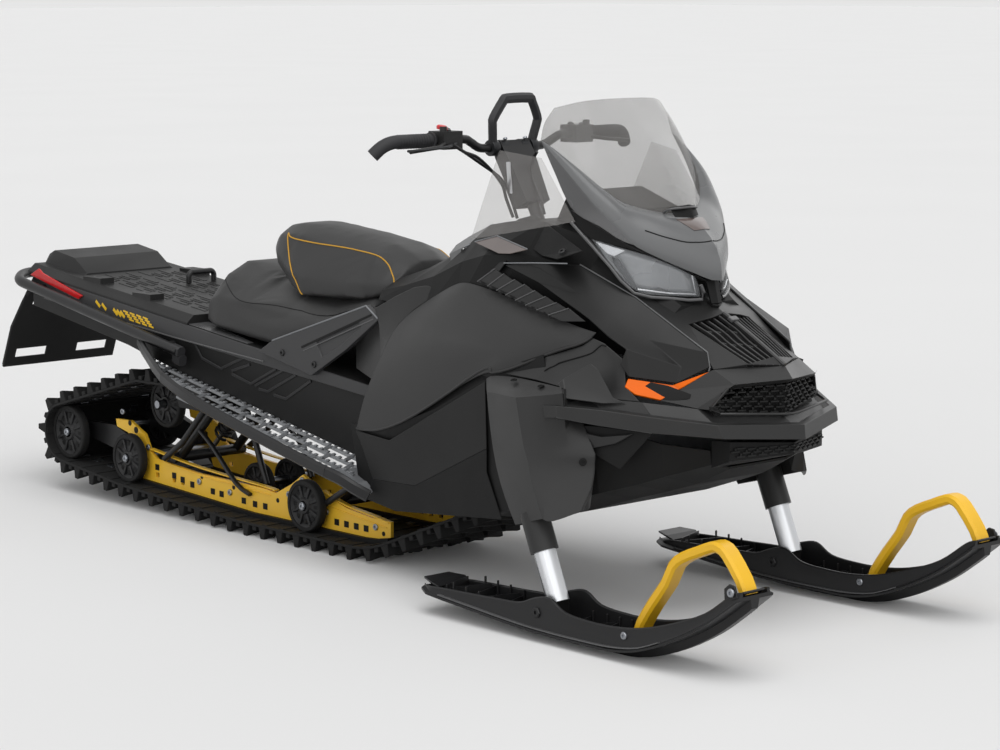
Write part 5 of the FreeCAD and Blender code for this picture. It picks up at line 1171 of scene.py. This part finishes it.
# dark discs on the rails' faces: painted shade of their holes
repeat("rail_holes", disc(8.0, 0.9, sides=16),
       [sideways((x, -RAIL_FACE, z), size=size) for x, z, size in
        ((-1000, 215, 1.2), (-1030, 232, 1.0), (-690, 118, 0.7), (-545, 108, 0.8), (-350, 98, 0.8),
         (-262, 148, 1.4), (-215, 165, 0.7), (90, 70, 0.8))], DEEP_BLACK_AND_SHADE, mirror=True)
bars("rail_ledges", [[(-900, -138, 143), (-700, -138, 122), (-470, -138, 112), (-380, -138, 108)],
                     [(-130, -138, 112), (-20, -138, 100), (104, -138, 88)]], box_profile(2.4, 3.0, 0.6), RAIL_GOLD,
     both=True, steps=3)
bars("rail_top_flanges", [[(-932, -132, 168), (-700, -132, 143), (-420, -132, 129), (-360, -132, 124)],
                          [(-160, -132, 150), (-60, -132, 124), (40, -132, 112), (112, -132, 102)]],
     box_profile(16.0, 4.0, 1.0), RAIL_GOLD, both=True, steps=3)
bars("limiter_straps", [[(-684, -146, 252), (-625, -146, 212), (-523, -146, 124), (-460, -146, 100)]],
     box_profile(14.0, 9.0, 2.0), TUBE_BLACK, both=True, steps=3)


def coil(top, foot, radius, turns, wire):
    """A spring's run of points round the line between two places (x, z)."""
    axis = Vector((foot[0] - top[0], 0, foot[1] - top[1]))
    start = Vector((top[0], 0, top[1]))
    out = axis.normalized().cross(Vector((0, 1, 0)))
    count = int(turns * 12)
    return [tuple(start + axis * (k / count) + (out * math.cos(k * math.pi / 6)
                                                + Vector((0, 1, 0)) * math.sin(k * math.pi / 6)) * (radius - wire))
            for k in range(count + 1)]


SHOCKS = [((104, 298), (-112, 136)), ((-653, 332), (-826, 165))]
WIRE_MM = 4.5


def down_shock(shock, share):
    """A place (x, z) at a share of the way from a shock's top to its foot."""
    return tuple(top + (foot - top) * share for top, foot in zip(*shock))


bars("shock_springs", [coil(down_shock(shock, 0.06), down_shock(shock, 0.7), 27.0, 9, WIRE_MM) for shock in SHOCKS],
     ring_profile(WIRE_MM, 8), TUBE_BLACK, steps=1)
for name, shares, profile, finish, hidden in (
        ("shock_bodies", (0.0, 0.66), ring_profile(16.0, 20), CAST_GREY_AND_HIGHLIGHT, ("shock_absorbers",)),
        ("shock_rods", (0.6, 1.0), ring_profile(7.0, 16), STEEL, ())):
    bars(name, [[(x, 0, z) for x, z in (down_shock(shock, share) for share in shares)] for shock in SHOCKS],
         profile, finish, steps=1, hides=hidden)
bars("suspension_links", [[(-640, -150, 330), (-760, -150, 210), (-846, -150, 152)],
                          [(120, -150, 300), (-10, -150, 190),
                          (-130, -150, 122)], [(-560, -80, 330), (-470, -80, 120)]], ring_profile(9.0, 12), TUBE_BLACK,
     both=True, steps=1)

# ------------------------------------------------------------------ tunnel, boards and deck
def tunnel_top(x):
    """Height of the tunnel's top plate, which climbs to the rear."""
    return 514.0 - (x + 240.0) * 0.112


def board_height(x):
    """Height of the running board's inner edge."""
    return 296.0 - x * 0.187


ALONG_BOARD = Vector((1, 0, -0.187)).normalized()
BOARD_UP = (0.184, 0, 0.983)
BOARD_LINES = [(-216, -800), (-262, -740), (-308, -600), (-344, -520)]
bars("board_edges", [[(-595, -336, board_height(-595) + 21), (-480, -352, board_height(-480) + 12),
                      (-309, -356, board_height(-309) + 2), (-62, -356, board_height(-62) - 6),
                      (120, -354, board_height(120) - 10)]], box_profile(15.0, 32.0, 6.0),
     TUBE_BLACK, both=True, steps=5, hides=("running_boards",))
bars("board_tails", [[(-842, -233, 497), (-784, -262, 482), (-717, -292, 466), (-655, -317, 448),
                      (-595, -336, board_height(-595) + 21)]], box_profile(15.0, 32.0, 6.0), TUBE_BLACK, both=True,
     steps=3)
facets("board_tail_plates", {"a": (-838, 230, 488), "b": (-717, 288, 454), "c": (-595, 332, 416),
                             "d": (-590, 300, board_height(-590) - 4), "e": (-700, 256, board_height(-700) - 4),
                             "f": (-806, 214, board_height(-806) - 4)}, ["a b e f", "b c d e"], TUBE_BLACK, wall=2.0,
       edge=0.6, sharp=50.0, spine=0.0)
bars("board_toes", [[(120, -354, board_height(120) - 10), (170, -346, 250), (204, -334, 232), (236, -312, 212)]],
     box_profile(15.0, 32.0, 6.0), TUBE_BLACK, both=True, steps=4)
facets("board_toe_plates", {"a": (120, 346, board_height(120) - 4), "b": (204, 328, 240), "c": (236, 306, 218),
                            "d": (150, 220, board_height(150) - 2), "e": (226, 222, 258), "f": (200, 270, 250)},
       ["a b f d", "b c e f", "d f e"], BOARD_METAL, wall=2.0, edge=0.6, spine=0.0)
bars("board_rails", [[(start, y, board_height(start) - 7), (174, y, board_height(174) - 7)]
                     for y, start in BOARD_LINES],
     box_profile(7.0, 9.0, 1.2), BOARD_METAL, both=True, steps=1)
CROSS_PITCH_MM = 88.0
repeat("board_ties", block(14.0, 45.0, 3.0, edge=0.8),
       [((x, (y0 + y1) / 2, board_height(x) - 5), (1, 0.5, -0.187), BOARD_UP, 1.0)
        for (y0, _), (y1, start) in zip(BOARD_LINES, BOARD_LINES[1:])
        for x in (start + 20 + CROSS_PITCH_MM * k for k in range(11)) if x < 160], BOARD_METAL, mirror=True)
TOOTH_PITCH_MM = 24.0
repeat("board_teeth", block(9.0, 10.0, 4.0, edge=0.8),
       [((x, y, board_height(x) - 1.5), tuple(ALONG_BOARD), BOARD_UP, 1.0) for y, start in BOARD_LINES
        for x in (start + TOOTH_PITCH_MM * (k + (0.5 if y == -262 else 0.0)) for k in range(60)) if x < 170],
       BOARD_METAL, mirror=True)
# the tunnel in its darkened black: real black and painted shade
rounded_copy("tunnel", TUNNEL_BLACK_AND_SHADE, edge=2.0, sharp=30.0)
rounded_copy("tunnel_skirts", BRACE_GREY, edge=2.0, sharp=30.0)
rounded_copy("side_braces", BRACE_GREY, edge=4.0, sharp=30.0)
bars("skirt_lips", [[(-1330, -220, tunnel_top(-1330) - 60), (-700, -220, tunnel_top(-700) - 46), (-300, -220, 492)]],
     box_profile(2.5, 4.0, 0.8), SHROUD_GREY_AND_HIGHLIGHT, both=True, steps=1)
FLANK_RIBS = [[(-625, 525), (-581, 473), (-496, 452), (-385, 496)], [(-447, 443), (-365, 424), (-256, 476)],
              [(-330, 414), (-292, 411), (-172, 469)], [(-266, 405), (-215, 400), (-110, 459)],
              [(-447, 451), (-368, 476)], [(-347, 421), (-222, 477)]]
# the tunnel's pressed ribs, lighter than the tunnel around them: painted highlights
bars("flank_ribs", [[(x, -213.4, z) for x, z in run] for run in FLANK_RIBS], box_profile(3.0, 8.0, 1.2), TUNNEL_RIB_HIGHLIGHT,
     both=True, steps=1, upright=(0.3, 0, 1))
BRACE_FACE = 235.6
# dark bars along the side braces' grooves: painted shade
bars("brace_grooves", [[(-120, -BRACE_FACE, 549), (162, -BRACE_FACE, 659)]], box_profile(1.6, 6.0, 0.5), DEEP_BLACK_AND_SHADE,
     both=True,
     steps=1)
# light bars beside the grooves: painted highlights
bars("brace_ridges", [[(-112, -BRACE_FACE, 541), (170, -BRACE_FACE, 649)]], box_profile(1.6, 3.0, 0.5), SHROUD_GREY_AND_HIGHLIGHT,
     both=True,
     steps=1)
# bright line along the braces' top edges: painted highlight
bars("brace_edges", [[(-243, -BRACE_FACE + 1, 555), (140, -BRACE_FACE + 1, 680), (186, -BRACE_FACE + 1, 651)]],
     ring_profile(2.4, 8), CAST_GREY_AND_HIGHLIGHT, both=True, steps=1)
repeat("brace_bolts", disc(9.0, 4.0, sides=12, edge=1.2, dimple=4.0),
       [sideways((x, -BRACE_FACE, z)) for x, z in ((-200, 527), (-69, 509))], TUBE_BLACK, mirror=True)
# lighter plates on the tunnel's top between bench and deck: painted light where the top catches it
facets("tunnel_top_plates", {"a": (-655, 140, tunnel_top(-655) + 3), "b": (-655, 211, tunnel_top(-655) + 3),
                             "c": (-380, 211, tunnel_top(-380) + 3), "d": (-380, 190, tunnel_top(-380) + 3)},
       ["a b c d"], SHROUD_GREY_AND_HIGHLIGHT, wall=2.0, edge=0.5, spine=0.0)


def deck_top(x):
    """Height of the cargo deck's upper face."""
    return tunnel_top(x) + 26.0


def on_deck(x, y, lift=0.0):
    """A station on the deck, turned to its slope."""
    return (x, y, deck_top(x) + lift), (0.994, 0, -0.111), (0.111, 0, 0.994), 1.0


rounded_copy("cargo_deck", RACK_BLACK, edge=4.0, sharp=20.0)
DECK_PITCH_MM = 86
repeat("deck_dashes", block(64.0, 13.0, 2.6, edge=1.0, foot=-1.0),
       [on_deck(x, y) for y in (-22, -58, -94, -130)
        for x in (-1160 + DECK_PITCH_MM * k + (30 if y in (-58, -130) else 0) for k in range(6))],
       RACK_BLACK, mirror=True)
# dark patches on the deck: painted shade of its slots
repeat("deck_slots", block(46.0, 9.0, 1.2, edge=0.3, foot=0.0),
       [on_deck(-1130 + DECK_PITCH_MM * k, y) for y in (-40, -76, -112) for k in range(6)], DEEP_BLACK_AND_SHADE, mirror=True)
ANCHORS = (-1122, -882)
repeat("anchor_rings", turned([(9.0, 0), (16.0, 0), (16.0, 3.0), (13.0, 4.5), (9.0, 3.0)], 24),
       [on_deck(x, -172, 8.6) for x in ANCHORS], TUBE_BLACK, mirror=True)
# dark discs inside the anchor rings: painted shade of their sockets
repeat("anchor_sockets", disc(9.0, 1.0, sides=16), [on_deck(x, -172, 8.0) for x in ANCHORS], DEEP_BLACK_AND_SHADE, mirror=True)
facets("tail_box_panels", {"a": (-1372, 138, 707), "b": (-1282, 138, 693), "c": (-1372, 20, 707.5),
                           "d": (-1282, 20, 693.5),
                           "e": (-1240, 120, 670), "f": (-1240, 20, 670)},
       ["a b d c", "b e f d"], RACK_BLACK, wall=2.0, edge=0.8, spine=300.0)
# painted flashes on the skirts: plain bars and dashes
YELLOW_BARS = [(-1060, 596), (-1030, 590), (-975, 580), (-958, 578), (-941, 576)]
YELLOW_DASHES = [(-925 + 31 * k + 9 * row, 583 - 7.2 * row - 3.4 * k) for row in range(4) for k in range(4)]
repeat("skirt_bars", block(26.0, 9.0, 0.9, edge=0.2), [((x, -219.0, z - 14), (0.8, 0, -0.6), (0, -1, 0), 1.0)
                                                        for x, z in YELLOW_BARS], STRIPE_YELLOW, mirror=True)
repeat("skirt_dashes", block(23.0, 4.6, 0.9, edge=0.2), [((x, -219.0, z - 12), (0.985, 0, -0.17), (0, -1, 0), 1.0)
                                                         for x, z in YELLOW_DASHES], STRIPE_YELLOW, mirror=True)
rounded_copy("tail_lamps", LAMP_RED, edge=2.0, sharp=25.0)
rounded_copy("snow_flap", TRACK_RUBBER, edge=1.6, sharp=25.0)
bars("flap_ribs", [[(-1410, y, 604), (-1474, y, 560), (-1543, y, 472), (-1594, y, 352)] for y in (-196, -40, 40, 196)],
     box_profile(8.0, 5.0, 1.5), TRACK_RUBBER, steps=1, upright=(1, 0, 0.6))
bars("bumper_caps", [[(-668, -246, 493), (-630, -246, 486)], [(-664, -240, 468), (-632, -240, 462)]],
     box_profile(26.0, 30.0, 6.0), GRIP_RUBBER, both=True, steps=1)

# ------------------------------------------------------------------ skis
# stations along a ski: x, underside height, wall top height
SKI = [(605, 56, 66), (640, 52, 70), (700, 46, 73), (800, 38, 76), (880, 31, 79), (950, 26, 83), (1000, 23, 101),
       (1050, 22, 108), (1100, 21, 83), (1180, 21, 76), (1260, 22, 77), (1340, 36, 88), (1430, 70, 114),
       (1520, 118, 150), (1590, 168, 200), (1618, 190, 210)]
STANCE, SKI_HALF = 406.5, 62.0


def ski_section(x, under, top):
    """A ski's section: flared floor, two walls, a keel and a gap between the walls."""
    taper = 1.0 - 0.25 * max(0.0, (x - 1430.0) / 190.0) - 0.3 * max(0.0, (640.0 - x) / 35.0)
    w = SKI_HALF * taper
    keel_z = max(under - 21.0, 0.0) if x > 700.0 else under - 8.0
    right = [(-w - 12, under), (-w - 12, under + 5), (-w - 2, under + 9), (-w, under + 14), (-w, top - 3),
             (-w + 2.5, top),
             (-w + 6, top), (-w + 8, top - 3), (-w + 8, under + 9)]
    keel = [(14, under), (9.8, keel_z), (-9.8, keel_z), (-14, under)]
    return right + [(-y, z) for y, z in reversed(right)] + keel


def ski_mesh(name, side):
    """One ski, lofted through its stations on smooth lines."""
    run = curve_points(SKI, 4)
    sections = [ski_section(*spot) for spot in run]
    vertices = [(spot[0] * MM, (y + side * STANCE) * MM, z * MM) for spot, ring in zip(run, sections) for y, z in ring]
    mesh = new_mesh(name, vertices, loft(len(run), len(sections[0])))
    turn_outwards(mesh)
    smooth_below(mesh, 30.0)
    return mesh


def ski_floor(x):
    """Height of a ski's floor at x."""
    for (x0, z0, _), (x1, z1, _) in zip(SKI, SKI[1:]):
        if x0 <= x <= x1:
            return z0 + (z1 - z0) * (x - x0) / (x1 - x0) + 9.0


SKI_LOOP = [(1281, 50), (1294, 84), (1328, 134), (1368, 186), (1390, 229), (1420, 252), (1466, 272), (1505, 288),
            (1524, 288), (1545, 276), (1586, 226), (1600, 196)]
for side, word in ((-1, "right"), (1, "left")):
    body = "ski_%s_body" % word
    middle = side * STANCE
    show("ski_%s_channel" % word, ski_mesh("ski", side), SKI_BLACK, body, ("ski_%s" % word,))
    bars("ski_loop_%s_moulded" % word, [[(x, middle, z) for x, z in SKI_LOOP]], box_profile(24.0, 45.0, 6.0),
         LOOP_YELLOW,
         body, ("ski_loop_%s" % word,), steps=2, upright=(0, 1, 0))
    ribs = [x for x in range(672, 960, 48)] + [x for x in range(1090, 1310, 44)]
    repeat("ski_%s_ribs" % word, block(3.0, 108.0, 24.0, foot=-2.0),
           [((x, middle, ski_floor(x)), (1, 0.35 * (-1) ** k, 0), (0, 0, 1), 1.0) for k, x in enumerate(ribs)],
           SKI_BLACK, body)
    repeat("ski_%s_bolts" % word, disc(9.0, 4.0, sides=16, edge=1.5, dimple=3.5),
           [sideways((1289, middle + way * SKI_HALF, 62), way) for way in (-1, 1)]
           + [sideways((1596, middle + side * 52.0, 207), side, 1.1)], STEEL, body)
    repeat("ski_%s_pivot" % word, disc(13.0, 5.0, sides=6, edge=2.0, dimple=5.0),
           [sideways((1010, middle + way * SKI_HALF, 68), way) for way in (-1, 1)], TUBE_BLACK, body)
    bars("ski_%s_rails" % word, [[(x, middle + way * (SKI_HALF + 5), ski_floor(x) - 1) for x in range(680, 1420, 60)]
                                 for way in (-1, 1)], box_profile(11.0, 3.0, 1.0), SHROUD_GREY_AND_HIGHLIGHT, body, steps=2)
    bars("ski_%s_runner" % word, [[(x, middle, max(ski_floor(x) - 29.0, 3.2))
                                   for x in (760, 860, 960, 1060, 1160, 1260)]],
         ring_profile(3.0, 8), STEEL, body, steps=2)
    own = -middle
    facets("ski_%s_tail" % word, {"a": (597, own - 40, 84), "b": (597, own + 40, 84), "c": (640, own - 56, 80),
                                  "d": (640, own + 56, 80), "e": (660, own - 50, 70), "f": (660, own + 50, 70)},
           ["a b d c", "c d f e"], SKI_BLACK, wall=5.0, edge=1.5, spine=20.0, both=False, body=body)
    facets("ski_%s_tip" % word, {"a": (1570, own - 38, 178), "b": (1570, own + 38, 178), "c": (1614, own - 34, 210),
                                 "d": (1614, own + 34, 210)},
           ["a b d c"], SKI_BLACK, wall=5.0, edge=1.5, spine=20.0, both=False, body=body)
    repeat("ski_%s_posts" % word, block(4.0, 6.0, 37.0, edge=1.2, foot=-1.0),
           [((x, middle + way * 51.0, ski_floor(x)), (1, 0, 0), (0, 0, 1), 1.0) for way in (-1, 1)
            for x in (716, 760, 804, 850, 1080, 1125, 1165, 1204, 1240)], SKI_BLACK, body)
    outer = own - side * 49
    facets("ski_%s_lug" % word, {"a": (1574, outer, 180), "b": (1572, outer, 212), "c": (1586, outer, 224),
                                 "d": (1602, outer, 222), "e": (1612, outer, 196)},
           ["a b c d e"], SKI_BLACK, wall=6.0, edge=2.0, spine=20.0, both=False, body=body)
    bars("ski_leg_%s_tube" % word, [[(1018, middle, 84), (990, middle, 150), (944.7, middle, 258)]],
         [(u * 1.04, v) for u, v in ring_profile(26.0, 32)], LEG_METAL_AND_REFLECTION, body, ("ski_leg_%s" % word,), steps=1)
    bars("ski_leg_%s_foot" % word, [[(1002, middle, 40), (1002, middle, 88)]], box_profile(64.0, 50.0, 8.0), DEEP_BLACK_AND_SHADE,
         body, steps=1, upright=(1, 0, 0))
    bars("strut_collar_%s_moulded" % word, [[(972, middle, 196), (944, middle, 262), (935, middle, 284)]],
         ring_profile(33.5, 32), BODY_BLACK, body, ("strut_collar_%s" % word,), steps=1)

# ------------------------------------------------------------------ steering
BAR = [(398, 434, 1078), (412, 412, 1102), (424, 385, 1112), (430, 270, 1112), (436, 172, 1112), (434, 145, 1104),
       (430, 110, 1088), (430, 60, 1086)]
bars("handlebar_tube", [[(x, -y, z) for x, y, z in BAR[1:]] + [(x, y, z) for x, y, z in reversed(BAR[1:])]],
     ring_profile(11.0, 18), TUBE_BLACK, "steering", ("handlebar",), steps=5)
bars("grip_sleeves", [[(429.5, -270, 1112), (427, -330, 1112), (424, -384, 1112), (413, -412, 1101),
                       (400, -432, 1080)]],
     ring_profile(16.6, 20), GRIP_RUBBER, "steering", ("grips",), steps=6, both=True)
repeat("grip_rings", turned([(15.0, -1.4), (17.6, -1.4), (17.9, 0), (17.6, 1.4), (15.0, 1.4)], 20),
       [((429.5 - 0.047 * (reach - 270), -reach, 1112), (1, 0, 0), (-0.047, -1, 0), 1.0)
        for reach in range(284, 380, 8)],
       GRIP_RUBBER, "steering", mirror=True)
repeat("grip_flanges", turned([(12.0, -3), (20.0, -3), (21.0, -1), (21.0, 2), (12.0, 3)], 24),
       [sideways((430, -271, 1112))], GRIP_RUBBER, "steering", mirror=True)
rounded_copy("control_blocks", BODY_BLACK, edge=3.5, sharp=30.0)
repeat("control_buttons", disc(8.0, 6.0, sides=14, edge=1.5),
       [((424, -212, 1134), (1, 0, 0), (0.3, 0, 1), 1.0), ((446, -228, 1134), (1, 0, 0), (0.3, 0, 1), 0.8),
        ((452, -204, 1124), (1, 0, 0), (1, 0, 0.3), 1.2)], TUBE_BLACK, "steering", mirror=True)
repeat("stop_switch", disc(11.0, 9.0, sides=18, edge=2.5), [((436, -240, 1139), (1, 0, 0), (0.15, 0, 1), (1.5, 1, 1))],
       SWITCH_RED, "steering")
bars("brake_levers", [[(456, -214, 1104), (474, -262, 1098), (476, -320, 1094), (470, -378, 1092)]],
     box_profile(13.0, 6.0, 2.0), CAST_DARK, "steering", steps=5)
rounded_copy("steering_riser", TUBE_BLACK, edge=3.0, sharp=30.0)
# bright strips on the riser's sides: painted reflection
bars("riser_guides", [[(468, way * 48.0, 1052), (470, way * 46.5, 1017), (472, way * 44.0, 974)] for way in (-1, 1)],
     box_profile(15.0, 3.0, 1.0), LEG_METAL_AND_REFLECTION, "steering", steps=2, upright=(0, 1, 0))
bars("riser_clamps", [[(430, -46, 1086), (430, -22, 1086)], [(430, 22, 1086), (430, 46, 1086)]], ring_profile(19.0, 24),
     CAST_DARK, "steering", steps=1)
repeat("riser_bolts", disc(5.5, 5.0, sides=12, edge=1.0, dimple=2.8),
       [((430 + dx, y, 1101 + dx * 0.4), (1, 0, 0), (-0.48, 0, 0.88), 1.0) for y in (-34, 34) for dx in (-13, 13)],
       STEEL,
       "steering")
STRAP_HALF = [(431, -66, 1092), (436, -71, 1120), (441, -76, 1146), (443, -75, 1160), (450, -50, 1200),
              (451.5, -38, 1208)]
STRAP = STRAP_HALF + [(x, -y, z) for x, y, z in reversed(STRAP_HALF)]
bars("grab_strap_moulded", [STRAP], box_profile(25.0, 22.0, 8.0), GRIP_RUBBER, "steering", ("grab_strap",), steps=3,
     upright=(1, 0, 0.2))
repeat("strap_clamps", turned([(10.0, -11), (19.5, -11), (20.5, -9), (20.5, 9), (19.5, 11), (10.0, 11)], 24),
       [sideways((430, side * 66, 1086), side) for side in (-1, 1)], CAST_DARK, "steering")


# ------------------------------------------------------------------ floor, light and camera
def backdrop_material(name, colour, other):
    """A pale matt studio floor whose colour drifts slowly between two tones."""
    material, tree = empty_material(name)
    grain = add(tree, "ShaderNodeTexNoise", inputs={"Vector": add(tree, "ShaderNodeTexCoord").outputs["Object"],
                                                    "Scale": 0.6, "Detail": 1.0})
    tint = add(tree, "ShaderNodeMix", {"data_type": "RGBA"},
               {0: grain.outputs["Fac"], 6: linear(colour), 7: linear(other)})
    plain = add(tree, "ShaderNodeBsdfDiffuse", inputs={"Color": tint.outputs[2], "Roughness": 0.5})
    add(tree, "ShaderNodeOutputMaterial", inputs={"Surface": plain.outputs[0]})
    return material


FLOOR_HALF_M = 120.0
floor_mesh = new_mesh("floor", [(x * FLOOR_HALF_M, y * FLOOR_HALF_M, 0)
                                for x, y in ((-1, -1), (1, -1), (1, 1), (-1, 1))], [(0, 1, 2, 3)])
floor_mesh.materials.append(backdrop_material("studio_floor", "#e3e3e3", "#e6e6e6"))
floor = bpy.data.objects.new("floor", floor_mesh)
scene.collection.objects.link(floor)

world = bpy.data.worlds.new("studio")
scene.world = world
world.use_nodes = True
sky = world.node_tree
sky.nodes.clear()
rays = add(sky, "ShaderNodeLightPath")
seen = rays.outputs["Is Camera Ray"]
for kind in ("Is Glossy Ray", "Is Transmission Ray"):
    seen = add(sky, "ShaderNodeMath", {"operation": "MAXIMUM"}, {0: seen, 1: rays.outputs[kind]}).outputs[0]
lit = add(sky, "ShaderNodeBackground", inputs={"Color": linear("#ffffff"), "Strength": 0.42})
shown = add(sky, "ShaderNodeBackground", inputs={"Color": linear("#e6e6e6"), "Strength": 1.0})
both = add(sky, "ShaderNodeMixShader", inputs={0: seen, 1: lit.outputs[0], 2: shown.outputs[0]})
add(sky, "ShaderNodeOutputWorld", inputs={"Surface": both.outputs[0]})


def sun_light(name, toward, strength, spread):
    """Light from one side, soft as a large diffuser makes it."""
    data = bpy.data.lights.new(name, "SUN")
    data.energy = strength
    data.angle = math.radians(spread)
    lamp = bpy.data.objects.new(name, data)
    lamp.rotation_euler = Vector(toward).to_track_quat("Z", "Y").to_euler()
    scene.collection.objects.link(lamp)


sun_light("overhead_diffuser", (0.8, -0.6, 2.6), 1.3, 50.0)
sun_light("front_diffuser", (2.6, -1.4, 1.3), 0.55, 60.0)
sun_light("left_diffuser", (-0.6, 2.6, 1.6), 0.35, 50.0)
sun_light("right_diffuser", (0.3, -2.6, 0.9), 0.4, 60.0)

# camera: turn round Z from the right side towards the nose, and height of view
TURN, RISE, FOCAL_MM, SENSOR_MM = math.radians(43.12), math.radians(8.10), 100.06, 36.0
EYE = Vector((5.487, -4.776, 1.500))
camera_data = bpy.data.cameras.new("camera")
camera_data.lens = FOCAL_MM
camera_data.sensor_width = SENSOR_MM
camera_data.clip_end = 200.0
camera = bpy.data.objects.new("camera", camera_data)
back = Vector((math.cos(TURN) * math.cos(RISE), -math.sin(TURN) * math.cos(RISE), math.sin(RISE)))
right = Vector((math.sin(TURN), math.cos(TURN), 0))
up = back.cross(right)
camera.matrix_world = Matrix((
    (right.x, up.x, back.x, EYE.x),
    (right.y, up.y, back.y, EYE.y),
    (right.z, up.z, back.z, EYE.z),
    (0, 0, 0, 1)))
scene.collection.objects.link(camera)
scene.camera = camera
scene.view_settings.view_transform = "Standard"
